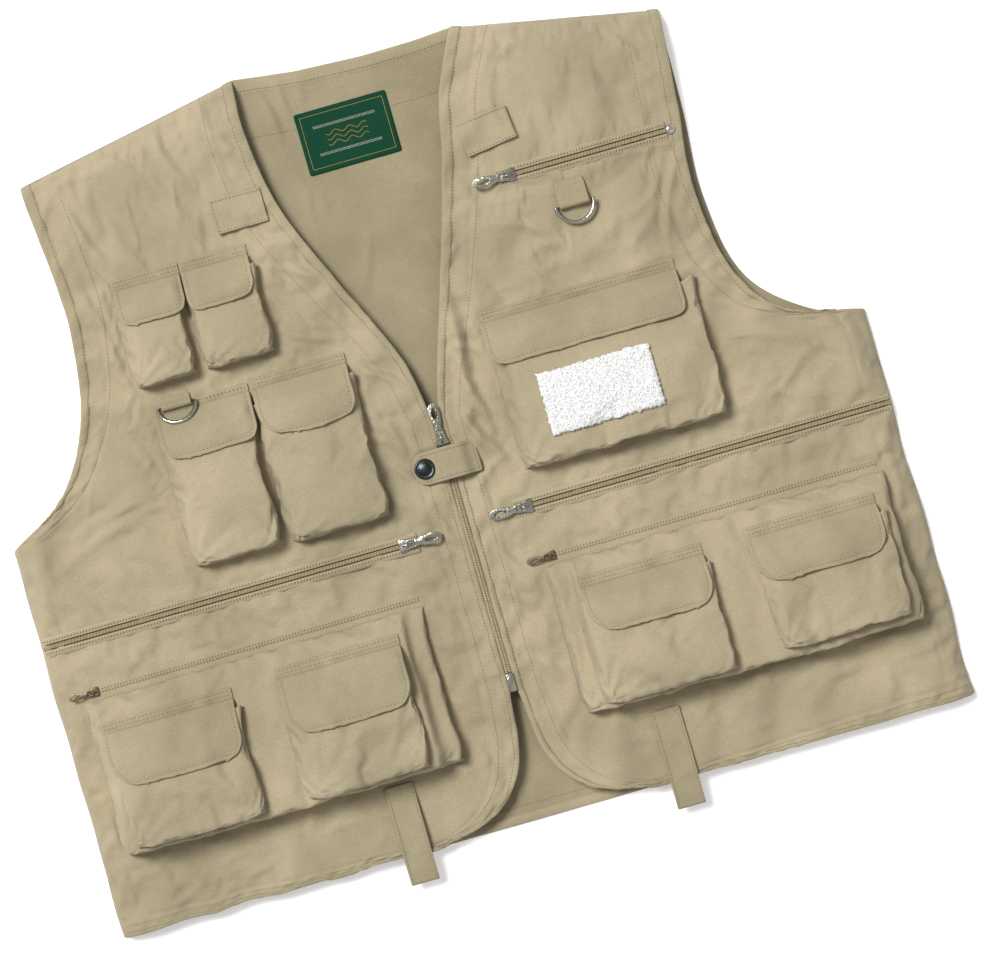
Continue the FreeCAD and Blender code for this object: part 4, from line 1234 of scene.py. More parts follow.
@dataclass
class Flap:
    """A pocket flap: sewn strip, hinge line, and a round-cornered tongue over the mouth."""
    node: str
    strip: float = 6.0
    corner_left: float = 15.0
    corner_right: float = 15.0
    cell: float = 3.0
    cloth: float = 1.4 * MM
    pitch: float = 2.9 * MM
    seed: float = 1.0
    bow: float = 0.0
    net: Net = field(init=False)

    def build(self, under: list[BVHTree]) -> None:
        """Drape the flap over its pocket and sew its strip to the front.

        Args:
            under: the cloths below it.
        """
        low, high, wide, tall = size_of(self.node)
        insets = (1.3, 2.8, 3.6)
        across = stations(wide, self.cell, insets, insets)
        along = stations(tall, self.cell, insets, ())
        points = []
        for y in along:
            left, right = self._round(self.corner_left, y), self._round(self.corner_right, y)
            line = []
            for x in across:
                share = x / wide
                place = low[0] + (left + share * (wide - left - right)) * MM
                sag = self.bow * math.sin(math.pi * share) * max(0.0, 1 - y / tall) * MM
                sag += ripple(place, low[1], self.seed + 2, 24.0, 1.1) * max(0.0, 1 - y / tall)
                line.append(Vector((place, low[1] + y * MM - sag, 0.0)))
            points.append(line)
        self._drape(points, under, low[2])
        self.net = Net(points)
        self._press()
        piece = to_object(self.net.mesh(), self.node + "_cloth")
        thicken(piece, self.cloth, 1)
        dress(piece, FLAP_CLOTH, self.node, self.node)
        self.net.declare(piece, "laid", self.pocket() + "_cloth", [self._edge_row()])
        self._sewn_strip(under, low, high)
        log.info("%s: %d by %d cells", self.node, self.net.columns, self.net.rows)

    @staticmethod
    def _round(radius: float, y: float) -> float:
        """How far a round corner draws a side in, at a height over the tongue's end."""
        short = max(radius - y, 0.0)
        return radius - math.sqrt(max(radius ** 2 - short ** 2, 0.0))

    def pocket(self) -> str:
        """The node of the pocket that the flap closes."""
        return self.node.replace("flap", "pocket") if "chest" not in self.node else "left_chest_pocket"

    def _drape(self, points: list[list[Vector]], under: list[BVHTree], default: float) -> None:
        """Lay the tongue like a taut skin over what is below it."""
        floor = [[ground(under, spot.x, spot.y, default) + self.cloth + 0.35 * MM for spot in row]
                 for row in points]
        rows, columns = len(points), len(points[0])
        root = [height - self.cloth * 0.2 for height in floor[-1]]
        level = [row[:] for row in floor]
        for _ in range(140):
            for j in range(rows - 1):
                for i in range(columns):
                    around = [level[j][k] for k in (i - 1, i + 1) if 0 <= k < columns]
                    around += [level[k][i] for k in (j - 1, j + 1) if k >= 0]
                    mean = sum(around) / len(around)
                    level[j][i] = max(floor[j][i], mean - 0.02 * MM)
            level[-1] = root[:]
        for j, row in enumerate(points):
            for i, spot in enumerate(row):
                free = 1 - j / rows
                spot.z = level[j][i] + abs(ripple(spot.x, spot.y, self.seed, 17.0, 2.0)) * free ** 0.6
                spot.z += abs(ripple(spot.x, spot.y, self.seed + 7, 6.0, 0.8)) * min(1.0, 3 * free)

    def _press(self) -> None:
        """Press the edge row into the tongue, pucker its rim and let the middle swell."""
        rows, columns = self.net.rows, self.net.columns
        for j, row in enumerate(self.net.points):
            for i, spot in enumerate(row):
                edge = min(i, columns - i, j)
                pucker = 0.3 * math.sin((i + 1.7 * j) * 1.3 + 1.5 * math.sin((i - j) * 0.31 + self.seed))
                if edge in (2, 3):
                    spot.z -= 0.45 * MM
                elif edge == 0:
                    spot.z += (pucker - 0.1) * MM
                elif edge == 1:
                    spot.z += (0.25 + pucker) * MM
                else:
                    spot.z += 0.7 * MM * math.sin(math.pi * i / columns) * (1 - j / rows)

    def _edge_row(self) -> bpy.types.Object:
        """Sew the row that follows the tongue's free edge."""
        net = self.net
        seams = Seams(self.node + "_stitching", THREAD, self.node)
        s_in, t_in = 2.5 / net.columns, 2.5 / net.rows
        corners = ((s_in, 0.97), (s_in, t_in), (1 - s_in, t_in), (1 - s_in, 0.97))
        path = []
        for (a, b), (c, d) in zip(corners, corners[1:]):
            for k in range(46):
                s, t = a + (c - a) * k / 46, b + (d - b) * k / 46
                path.append((net.at(s, t) + net.normal(s, t) * 0.2 * MM, net.normal(s, t)))
        seams.row(path, pitch=self.pitch)
        return seams.done()

    def _sewn_strip(self, under: list[BVHTree], low: Vector, high: Vector) -> None:
        """The flap's top edge, turned under and sewn flat above the hinge line."""
        start, tall, wide = high[1] - 0.6 * MM, self.strip + 2.0, high[0] - low[0]

        def spot(x: float, y: float, lift: float) -> Vector:
            place = start + y * MM
            return Vector((x, place, ground(under, x, place, low[2]) + lift * MM))

        profile = ((0.0, 0.9), (1.6, 1.45), (tall * 0.5, 1.5), (tall - 1.4, 1.65), (tall, 1.3),
                   (tall + 0.3, 0.4))
        steps = max(8, round(wide / (3 * MM)))
        rows = [[spot(x, y, lift) for x in spread(low[0], high[0], steps)] for y, lift in profile]
        for row in rows:
            for point in row:
                point.z += ripple(point.x, point.y, self.seed + 5, 9.0, 0.5)
        ribbon(rows, self.node + "_sewn_strip", FLAP_CLOTH)
        seams = Seams(self.node + "_strip_stitching", THREAD)
        for y, lift in ((3.2, 1.6), (tall - 1.8, 1.7)):
            path = [(spot(low[0] + wide * (0.02 + 0.96 * k / 30), y, lift), UP) for k in range(31)]
            seams.row(path, pitch=self.pitch)
        seams.done()


# ------------------------------------------------------------------ zips
Line = Callable[[float, float], list[Vector]]      # a line along a zip, at an offset and a lift in mm


@dataclass
class Zip:
    """A coil zip, set between two sewn welts or sewn flat under a pocket's edge."""
    name: str
    start: float
    end: float
    welt: bool = True

    def build(self, under: list[BVHTree]) -> None:
        """Build the tape, coil, welts and rows of stitching along the zip.

        Args:
            under: the cloths that the zip lies on.
        """
        low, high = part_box(self.name + "_chain")
        centre = (low[1] + high[1]) / 2

        def line(offset: float, lift: float) -> list[Vector]:
            return [Vector((x, centre + offset * MM, ground(under, x, centre, low[2]) + lift * MM))
                    for x in spread(self.start * MM, self.end * MM, 90)]

        reach = 3.6 if self.welt else 2.6
        profile = ((-1, -0.2), (-0.5, 0.3), (0, 0.35), (0.5, 0.3), (1, -0.2))
        tape = [line(offset * reach, lift) for offset, lift in profile]
        ribbon(tape, self.name + "_tape", ZIP_TAPE if self.welt else TAPE, self.name + "_chain")
        if self.welt:
            self._welts(line)
            self._coil(line)
        self._bars(line)
        log.info("%s: tape, coil and welts", self.name)

    def _welts(self, line: Line) -> None:
        """Fold a welt of shell cloth along each side."""
        profile = ((2.25, 0.4), (2.15, 1.15), (2.7, 1.55), (4.0, 1.35), (5.2, 1.3), (6.6, 0.9), (7.6, -0.1))
        for sign, word in ((-1, "lower"), (1, "upper")):
            welt = [line(sign * offset, lift) for offset, lift in profile]
            for row in welt[1:5]:
                for spot in row:
                    spot.z += ripple(spot.x, spot.y, 60.0 + sign, 7.0, 0.5)
            ribbon(welt, "%s_%s_welt" % (self.name, word), SHELL)

    def _coil(self, line: Line) -> None:
        """Interlocked turns of the nylon coil, a turn from each side in each pitch."""
        coil = Seams(self.name + "_coil", COIL, wide=0.42 * MM)
        for sign, shift in ((-1, 0.0), (1, 0.55)):
            rows = [(spot + Vector((shift * MM, 0, 0)), UP) for spot in line(sign * 0.68, 0.85)]
            coil.row(rows, pitch=1.1 * MM, turn=True, long=1.15 * MM)
        coil.done()

    def _bars(self, line: Line) -> None:
        """Sew brown bars across each side, with pale ones between them on a welt."""
        brown = Seams(self.name + "_welt_stitching", BROWN_THREAD, wide=0.3 * MM)
        pale = Seams(self.name + "_bar_stitching", WHITE_THREAD, wide=0.3 * MM)
        offset, lift, long = (4.3, 1.42, 0.95) if self.welt else (1.0, 0.5, 0.6)
        for sign in (-1, 1):
            rows = [(spot, UP) for spot in line(sign * offset, lift)]
            brown.row(rows, pitch=2.3 * MM, turn=True, long=long * MM)
            if self.welt:
                shifted = [(spot + Vector((1.15 * MM, 0.0, 0.0)), up) for spot, up in rows]
                pale.row(shifted, pitch=2.3 * MM, turn=True, long=0.8 * MM)
        brown.done()
        if self.welt:
            pale.done()


@dataclass
class Slider:
    """A zip slider and its pull, at the frame's place and size."""
    name: str
    pull_long: float = 26.0
    body: tuple[float, float, float] = (12.0, 10.0, 2.8)
    bail_reach: float = 3.3
    bail_wire: float = 0.62
    size: float = 1.0
    finish: Finish = NICKEL

    def build(self) -> None:
        """Build both pieces in the zip's own directions and set them where the frame has them."""
        low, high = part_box(self.name + "_slider")
        centre = (low + high) / 2
        pull_low, pull_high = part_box(self.name + "_pull")
        out = centre - (pull_low + pull_high) / 2
        out.z = 0.0
        out.normalize()
        side = UP.cross(out)
        turn = (Matrix((out, side, UP)).transposed() * self.size).to_4x4()
        turn.translation = Vector((centre.x, centre.y, low.z))
        self._slider(turn)
        turn.translation.z = (pull_low.z + pull_high.z) / 2
        self._pull(turn)

    def _slider(self, turn: Matrix) -> None:
        """A waisted body with rolled sides, and the bail over it."""
        bm = bmesh.new()
        top = self.body[2] * MM
        bmesh.ops.create_cube(bm, size=1.0)
        bmesh.ops.scale(bm, vec=Vector(self.body) * MM, verts=bm.verts)
        bmesh.ops.translate(bm, vec=Vector((0, 0, 1.45 * MM)), verts=bm.verts)
        bmesh.ops.subdivide_edges(bm, edges=bm.edges, cuts=3, use_grid_fill=True)
        for vert in bm.verts:
            k = vert.co.x / (self.body[0] / 2 * MM)
            vert.co.y *= 1.0 if k > 0.2 else 0.72 + 0.1 * k
            vert.co.z -= 0.5 * MM * max(0.0, k) ** 2 * (1 if vert.co.z > 2 * MM else 0)
        sharp = [edge for edge in bm.edges if edge.calc_face_angle(0.0) > 0.7]
        ease(bm, sharp, 0.5 * MM, 3)
        arch = bmesh.new()
        bmesh.ops.create_circle(arch, segments=10, radius=self.bail_wire * MM, cap_ends=False,
                                matrix=Matrix.Rotation(math.pi / 2, 4, "X"))
        bmesh.ops.rotate(arch, verts=arch.verts, cent=(0, 0, 0), matrix=Matrix.Rotation(math.pi / 2, 3, "X"))
        bmesh.ops.translate(arch, verts=arch.verts, vec=Vector((self.bail_reach * MM, 0, top)))
        bmesh.ops.spin(arch, geom=arch.verts[:] + arch.edges[:], cent=Vector((0, 0, top)), axis=(0, -1, 0),
                       angle=math.pi, steps=18, use_merge=False)
        for vert in arch.verts:
            vert.co.z = min(vert.co.z, top + (vert.co.z - top) * 0.97)
        arch_mesh = bpy.data.meshes.new("bail")
        arch.to_mesh(arch_mesh)
        arch.free()
        bm.from_mesh(arch_mesh)
        bpy.data.meshes.remove(arch_mesh)
        bmesh.ops.recalc_face_normals(bm, faces=bm.faces)
        bmesh.ops.transform(bm, matrix=turn, verts=bm.verts)
        piece = to_object(bm, self.name + "_slider_casting")
        dress(piece, self.finish, self.name + "_slider", self.name + "_slider")

    def _pull(self, turn: Matrix) -> None:
        """A flat pull with a square eye at the bail, a waist and a round hole near its tip."""
        bm = bmesh.new()
        bmesh.ops.create_grid(bm, x_segments=40, y_segments=12, size=0.5)
        widths = ((0.0, 2.6), (0.1, 3.3), (0.24, 3.1), (0.34, 2.5), (0.5, 3.6), (0.7, 4.2), (0.86, 3.9),
                  (0.95, 2.9), (1.0, 1.3))
        for vert in bm.verts:
            k, across = 0.5 - vert.co.x, vert.co.y * 2
            half = widths[-1][1]
            for (k0, w0), (k1, w1) in zip(widths, widths[1:]):
                if k0 <= k <= k1:
                    mix = (k - k0) / (k1 - k0)
                    half = w0 + (w1 - w0) * (3 * mix * mix - 2 * mix ** 3)
                    break
            dome = 0.55 * math.cos(across * math.pi / 2) * math.sin(math.pi * k)
            vert.co = Vector(((0.6 - k * (self.pull_long + 0.6)) * MM, across * half * MM, dome * MM))

        def in_hole(face: bmesh.types.BMFace) -> bool:
            spot = face.calc_center_median() / MM
            eye = -6.0 < spot.x < -0.55 and abs(spot.y) < 2.2
            tip = ((spot.x + self.pull_long - 8.0) / 4.6) ** 2 + (spot.y / 1.9) ** 2 < 1.0
            return eye or tip

        holes = [face for face in bm.faces if in_hole(face)]
        bmesh.ops.delete(bm, geom=holes, context="FACES")
        bmesh.ops.solidify(bm, geom=bm.faces[:], thickness=1.2 * MM)
        bmesh.ops.recalc_face_normals(bm, faces=bm.faces)
        low = min(vert.co.z for vert in bm.verts)
        high = max(vert.co.z for vert in bm.verts)
        bmesh.ops.translate(bm, verts=bm.verts, vec=Vector((0, 0, -(low + high) / 2)))
        sharp = [edge for edge in bm.edges if edge.is_manifold and edge.calc_face_angle(0.0) > 0.9]
        ease(bm, sharp, 0.22 * MM, 2)
        bmesh.ops.transform(bm, matrix=turn, verts=bm.verts)
        piece = to_object(bm, self.name + "_pull_tag")
        dress(piece, self.finish, self.name + "_pull", self.name + "_pull")


@dataclass
class MainZip:
    """The separating zip between the fronts' straight edges."""
    base: float = 13.2 * MM

    def build(self) -> None:
        """Two tapes with their coils, and the box at the foot."""
        low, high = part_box("main_zip_stringers")
        places = spread(low[1], high[1], 60)
        profile = ((0.2, 0.5), (1.2, 0.8), (2.4, 0.7), (2.9, -1.0), (3.6, -3.0))
        for sign, word, node in ((-1, "right", ""), (1, "left", "main_zip_stringers")):
            rows = [[Vector((sign * offset * MM, y, self.base + lift * MM)) for y in places]
                    for offset, lift in profile]
            ribbon(rows, "main_zip_%s_tape" % word, TAPE, node)
        coil = Seams("main_zip_coil", COIL, wide=0.5 * MM)
        for sign, shift in ((-1, 0.0), (1, 0.65)):
            path = [(Vector((sign * 0.9 * MM, y + shift * MM, self.base + 1.0 * MM)), UP) for y in places]
            coil.row(path, pitch=1.3 * MM, turn=True, long=1.2 * MM)
        coil.done()
        box_low, box_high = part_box("main_zip_box")
        bm = bmesh.new()
        bmesh.ops.create_cube(bm, size=1.0)
        bmesh.ops.scale(bm, vec=(box_high - box_low) * 0.98, verts=bm.verts)
        bmesh.ops.translate(bm, vec=(box_high + box_low) / 2, verts=bm.verts)
        ease(bm, bm.edges[:], 0.9 * MM, 3)
        piece = to_object(bm, "main_zip_box_casting")
        dress(piece, NICKEL, ROOT, "main_zip_box")
        log.info("main zip: tapes, coil and box")


# ------------------------------------------------------------------ rings, tabs and trim
@dataclass
class DRing:
    """A wire D-ring and the cloth loop round its bar."""
    word: str
    tail: float
    radius: float = 14.0
    wire: float = 1.4
    tilt: float = 0.0

    def build(self) -> None:
        """Bend the wire, close it with its bar, and fold the loop."""
        low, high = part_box("d_ring_" + self.word)
        bar_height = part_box("d_ring_loops")[0][2] + 3.0 * MM
        bar = Vector(((low[0] + high[0]) / 2, high[1] - self.wire * MM, bar_height))
        bm = bmesh.new()
        bmesh.ops.create_circle(bm, segments=14, radius=self.wire * MM, cap_ends=False)
        bmesh.ops.rotate(bm, verts=bm.verts, cent=(0, 0, 0), matrix=Matrix.Rotation(math.pi / 2, 3, "X"))
        bmesh.ops.translate(bm, verts=bm.verts, vec=Vector((self.radius * MM, 0, 0)))
        start = bm.edges[:]
        made = bmesh.ops.spin(bm, geom=bm.verts[:] + start, cent=(0, 0, 0), axis=(0, 0, -1), angle=math.pi,
                              steps=40)
        last = [item for item in made["geom_last"] if isinstance(item, bmesh.types.BMEdge)]
        bmesh.ops.bridge_loops(bm, edges=start + last)
        corners = [edge for edge in bm.edges if edge.calc_face_angle(0.0) > 0.9]
        if corners:
            ease(bm, corners, 0.5 * MM, 3)
        bmesh.ops.recalc_face_normals(bm, faces=bm.faces)
        turn = Matrix.Translation(bar) @ Matrix.Rotation(-self.tilt, 4, "X")
        bmesh.ops.transform(bm, matrix=turn, verts=bm.verts)
        piece = to_object(bm, "d_ring_%s_wire" % self.word)
        dress(piece, RING_NICKEL, "d_ring_" + self.word, "d_ring_" + self.word)
        self._loop(bar)

    def _loop(self, bar: Vector) -> None:
        """The folded loop: up over the bar, under it and back along the cloth."""
        radius, half = 2.55, 11.0
        trail = [(self.tail, -radius + 1.3), (self.tail * 0.6, -radius + 1.5), (3.2, -radius + 2.6)]
        for k in range(11):
            angle = math.radians(70 + k * 23)
            trail.append((radius * math.cos(angle), radius * math.sin(angle)))
        trail.append((self.tail * 0.8, -radius - 0.15))
        rows = [[Vector((bar.x + (k / 6 - 1) * half * MM, bar.y + y * MM, bar.z + z * MM)) for k in range(13)]
                for y, z in trail]
        node = "d_ring_loops" if self.word == "left" else ""
        ribbon(rows, "d_ring_%s_loop" % self.word, TAPE, node, 0.8 * MM)


@dataclass
class Tab:
    """A flat strip of doubled cloth that turns about its sewn root."""
    node: str
    width: float
    length: float
    heading: float
    seed: float = 1.0
    droop: float = 0.0
    thick: float = 1.5 * MM

    def build(self, under: list[BVHTree], root: Vector) -> None:
        """Lay the strip and sew its edges.

        Args:
            under: the cloths below it.
            root: the middle of its sewn end.
        """
        ahead = Vector((math.cos(self.heading), math.sin(self.heading), 0.0))
        side = UP.cross(ahead)
        across = stations(self.width, 3.4, (1.4, 2.8), (1.4, 2.8))
        along = stations(self.length, 3.4, (2.0,), (1.4, 2.8))
        points = []
        for y in along:
            line = []
            for x in across:
                spot = root + ahead * y * MM + side * (x - self.width / 2) * MM
                share = y / self.length
                spot.z = self._height(under, spot, root, share)
                line.append(spot)
            points.append(line)
        net = Net(points)
        for j, row in enumerate(net.points):
            for i, spot in enumerate(row):
                if min(i, net.columns - i, net.rows - j) == 2:
                    spot.z -= 0.3 * MM
        piece = to_object(net.mesh(), self.node + "_cloth")
        thicken(piece, self.thick, 1)
        dress(piece, TAPE, self.node, self.node)
        seams = Seams(self.node + "_stitching", THREAD, self.node)
        for edge in (Edge.START, Edge.END, Edge.HEAD):
            seams.along(net, edge, 2.8 * MM, 0.03, 0.97, 0.2 * MM, 30)
        seams.done()
        log.info("%s: strip", self.node)

    def _height(self, under: list[BVHTree], spot: Vector, root: Vector, share: float) -> float:
        """Height of the strip's upper face over a plan point."""
        base = ground(under, spot.x, spot.y, root.z - 2 * MM)
        level = max(base + self.thick + 0.9 * MM, root.z + 0.7 * MM)
        level += 1.4 * MM * share ** 2 + ripple(spot.x, spot.y, self.seed, 20.0, 0.6) * share
        return level - self.droop * MM * max(0.0, share - 0.7) ** 2 / 0.09


@dataclass
class SnapTab:
    """The tab over the front zip, with the domed cap of its snap and the stud on the other front."""
    width: float = 24.0
    cap: tuple[tuple[float, float], ...] = ((0.0, -0.1), (7.0, -0.1), (7.6, 0.5), (7.5, 1.3), (6.9, 1.9),
                                            (6.0, 1.75), (5.5, 1.45), (4.9, 1.5), (4.2, 1.95), (2.6, 2.35),
                                            (0.0, 2.5))
    stud: tuple[tuple[float, float], ...] = ((0.0, 0.0), (5.3, 0.0), (5.5, 0.5), (5.0, 1.0), (2.9, 1.0),
                                             (2.1, 1.3), (2.4, 2.0), (2.0, 2.6), (0.0, 2.7))

    def build(self) -> None:
        """Arch the tab from its sewn end to the snap, and set the snap's two halves."""
        low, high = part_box("snap_tab")
        y_mid = (low[1] + high[1]) / 2
        trail = Route([(22.6, 15.7), (17, 17.8), (11, 22.4), (3, 23.5), (-4.5, 23.2), (-9, 20.2),
                       (-14, 18.85), (-26.2, 18.8)])
        rows = []
        steps = 34
        for k in range(steps + 1):
            spot = trail.at(k / steps)
            tail = max(0.0, (-26.2 + 10 - spot.x) / 10)
            half = self.width / 2 * math.sqrt(max(1 - (tail * 0.98) ** 2.4, 0.02))
            line = []
            for i in range(13):
                share = i / 6 - 1
                crown = 0.4 * (1 - share * share)
                line.append(Vector((spot.x * MM, y_mid + share * half * MM, (spot.y + crown - 0.4) * MM)))
            rows.append(line)
        net = Net(rows)
        piece = to_object(net.mesh(), "snap_tab_cloth")
        thicken(piece, 1.5 * MM, 1)
        dress(piece, TAPE, "snap_tab", "snap_tab")
        seams = Seams("snap_tab_stitching", THREAD, "snap_tab")
        for edge in (Edge.START, Edge.END):
            seams.along(net, edge, 2.6 * MM, 0.02, 0.86, 0.3 * MM, 30)
        seams.along(net, Edge.FOOT, 2.6 * MM, 0.1, 0.9, 0.3 * MM, 12)
        net.declare(piece, "laid", "left_front_cloth", [seams.done()])
        self._turned("snap_cap", "dome", "snap_tab", self.cap)
        self._turned("snap_stud", "post", ROOT, self.stud)

    @staticmethod
    def _turned(node: str, word: str, body: str, profile: Sequence[tuple[float, float]]) -> None:
        """Spin one half of the snap on the foot of its node.

        Args:
            node: the node that it replaces.
            word: the end of its name.
            body: the body that it rides on.
            profile: radius and height in millimetres, from the axis round to the axis.
        """
        low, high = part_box(node)
        centre = Vector(((low[0] + high[0]) / 2, (low[1] + high[1]) / 2, low[2]))
        bm = bmesh.new()
        verts = [bm.verts.new(Vector((r * MM, 0.0, h * MM))) for r, h in profile]
        edges = [bm.edges.new(pair) for pair in zip(verts, verts[1:])]
        bmesh.ops.spin(bm, geom=verts + edges, cent=(0, 0, 0), axis=(0, 0, 1), angle=math.tau, steps=48,
                       use_merge=True)
        bmesh.ops.remove_doubles(bm, verts=bm.verts, dist=0.01 * MM)
        bmesh.ops.recalc_face_normals(bm, faces=bm.faces)
        bmesh.ops.translate(bm, vec=centre, verts=bm.verts)
        dress(to_object(bm, "%s_%s" % (node, word)), GUNMETAL, body, node)


@dataclass
class NeckLabel:
    """The woven label inside the neck, with a plain border and an abstract motif."""

    def build(self, under: list[BVHTree]) -> None:
        """Lay the label on the back panel and sew its border.

        Args:
            under: the back panel's cloth.
        """
        low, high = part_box("neck_label")

        def level(x: float, y: float) -> Vector:
            return Vector((x, y, ground(under, x, y, low[2]) + 0.9 * MM))

        net = Net([[level(x, y) for x in spread(low[0], high[0], 28)] for y in spread(low[1], high[1], 18)])
        piece = to_object(net.mesh(), "neck_label_cloth")
        thicken(piece, 0.6 * MM, 1)
        dress(piece, LABEL_GROUND, ROOT, "neck_label")
        gold, ivory = Seams("neck_label_border", GOLD_THREAD), Seams("neck_label_motif", IVORY_THREAD)
        for s0, t0, s1, t1 in ((0.05, 0.08, 0.95, 0.08), (0.95, 0.08, 0.95, 0.92), (0.95, 0.92, 0.05, 0.92),
                               (0.05, 0.92, 0.05, 0.08)):
            path = [(net.at(s0 + (s1 - s0) * k / 30, t0 + (t1 - t0) * k / 30), UP) for k in range(31)]
            gold.row(path, pitch=1.6 * MM, long=0.9 * MM)
        self._motif(net, gold, ivory)
        trim = [gold.done(), ivory.done()]
        log.info("neck label: ground, border and motif")

    @staticmethod
    def _motif(net: Net, gold: Seams, ivory: Seams) -> None:
        """Three plain waves between two bars, woven as short floats."""
        for level in (0.72, 0.28):
            for shift in (-0.012, 0.012):
                path = [(net.at(0.5 + 0.34 * (k / 20 - 1), level + shift), UP) for k in range(41)]
                ivory.row(path, pitch=0.9 * MM, turn=True, long=0.5 * MM)
        for wave in (-1, 0, 1):
            path = []
            for k in range(61):
                share = k / 30 - 1
                path.append((net.at(0.5 + 0.22 * share, 0.5 + 0.085 * wave + 0.03 * math.sin(share * 9)), UP))
            gold.row(path, pitch=0.9 * MM, turn=True, long=0.55 * MM)


@dataclass
class FleecePatch:
    """The pile patch that dries flies, stood on the chest pocket's face."""
    cell: float = 0.62 * MM
    round_off: float = 5.0 * MM
    pile: float = 3.4 * MM
    strands: int = 2600

    def build(self, under: list[BVHTree]) -> None:
        """Lay the pile's lumpy surface and plant loose curls over it.

        Args:
            under: the chest pocket's cloth.
        """
        low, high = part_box("fleece_patch")
        wide, tall = high[0] - low[0], high[1] - low[1]
        columns, rows = round(wide / self.cell), round(tall / self.cell)

        def surface(x: float, y: float) -> Vector:
            inset = min(x, wide - x, y, tall - y)
            edge = 1 - min(max(inset / self.round_off, 0.0), 1.0)
            body = self.pile * math.sqrt(max(1 - edge ** 3, 0.0))
            curl = abs(ripple(x, y, 31.0, 2.1, 1.0)) + abs(ripple(x, y, 32.0, 1.0, 0.55))
            ragged = ripple(x, y, 33.0, 3.0, 1.6)
            spot = Vector((low[0] + x, low[1] + y, 0.0))
            if inset < 2 * self.cell:
                spot.x += ragged * (1 if x > wide / 2 else -1) * (min(x, wide - x) < 2 * self.cell)
                spot.y += ragged * (1 if y > tall / 2 else -1) * (min(y, tall - y) < 2 * self.cell)
            spot.z = ground(under, spot.x, spot.y, low[2]) + 0.3 * MM + body + curl * 1.3
            return spot

        points = [[surface(x, y) for x in spread(0.0, wide, columns)] for y in spread(0.0, tall, rows)]
        for row in (points[0], points[-1]):
            for spot in row:
                spot.z -= 0.8 * MM
        net = Net(points)
        backing = to_object(net.mesh(), "fleece_pile")
        thicken(backing, 1.0 * MM, 0)
        dress(backing, PILE, ROOT, "fleece_patch")
        curls = Seams("fleece_curls", PILE)
        picks = random.Random(11)
        for _ in range(self.strands):
            s, t = picks.uniform(0.01, 0.99), picks.uniform(0.02, 0.98)
            spot, up = net.at(s, t), net.normal(s, t)
            lean = Vector((picks.uniform(-1, 1), picks.uniform(-1, 1), picks.uniform(0.0, 0.5))).normalized()
            side = up.cross(lean).normalized()
            curls.stitch(spot + up * 0.25 * MM, lean * picks.uniform(0.7, 1.3) * MM, side * 0.24 * MM,
                          lean.cross(side) * 0.24 * MM)
        trim = curls.done()
        log.info("fleece patch: %d by %d cells and %s", columns, rows, trim.name)


@dataclass
class Lining:
    """The pocket cloth seen through the zips, a little under each front."""
    drop: float = 2.4 * MM
    half: float = 11 * MM

    def build(self, under: list[BVHTree]) -> None:
        """Lay a strip of lining below each zip.

        Args:
            under: the fronts' cloth.
        """
        nodes = {"chest_zip": "zip_pocket_linings", "left_waist_zip": "", "right_waist_zip": ""}
        for name, node in nodes.items():
            low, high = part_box(name + "_chain")
            rows = []
            for j in range(9):
                y = (low[1] + high[1]) / 2 + (j / 4 - 1) * self.half
                rows.append([Vector((x, y, 0.0)) for x in spread(low[0], high[0], 40)])
                for spot in rows[-1]:
                    spot.z = ground(under, spot.x, spot.y, low[2]) - self.drop
            ribbon(rows, name + "_lining", LINING, node, 0.6 * MM, 0)


@dataclass
class EndStop:
    """The chromed bead crimped on the far end of the chest zip."""
    node: str = "chest_zip_end_stop"
    columns: int = 28
    profile: tuple[tuple[float, float], ...] = ((1.0, 0.0), (1.0, 0.3), (0.93, 0.6), (0.76, 0.84),
                                                (0.5, 0.96), (0.22, 1.0))

    def build(self) -> None:
        """Turn a low dome on the bead's own outline."""
        low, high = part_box(self.node)
        centre = (low + high) / 2
        reach = (high - low) / 2
        bm = bmesh.new()
        rings = []
        for radius, height in self.profile:
            ring = []
            for k in range(self.columns):
                turn = 2 * math.pi * k / self.columns
                x, y = reach.x * radius * math.cos(turn), reach.y * radius * math.sin(turn)
                ring.append(bm.verts.new((centre.x + x, centre.y + y, low.z + 2 * reach.z * height)))
            rings.append(ring)
        for lower, upper in zip(rings, rings[1:]):
            for k in range(self.columns):
                bm.faces.new((lower[k], lower[k - 1], upper[k - 1], upper[k]))
        bm.faces.new(rings[0])
        bm.faces.new(rings[-1])
        bmesh.ops.recalc_face_normals(bm, faces=bm.faces)
        bead = to_object(bm, "chest_zip_end_bead")
        dress(bead, BRIGHT, ROOT, self.node)
        log.info("%s: domed bead", self.node)


# ------------------------------------------------------------------ stage
@dataclass(frozen=True)
class Lamp:
    """A square area light: its place from the aim in metres, its side and its watts."""
    name: str
    up: float
    right: float
    above: float
    size: float
    power: float


LAMPS = (Lamp("key", 1.9, -3.0, 5.6, 2.2, 438.0), Lamp("fill", -0.9, 0.8, 1.9, 1.8, 3.0))


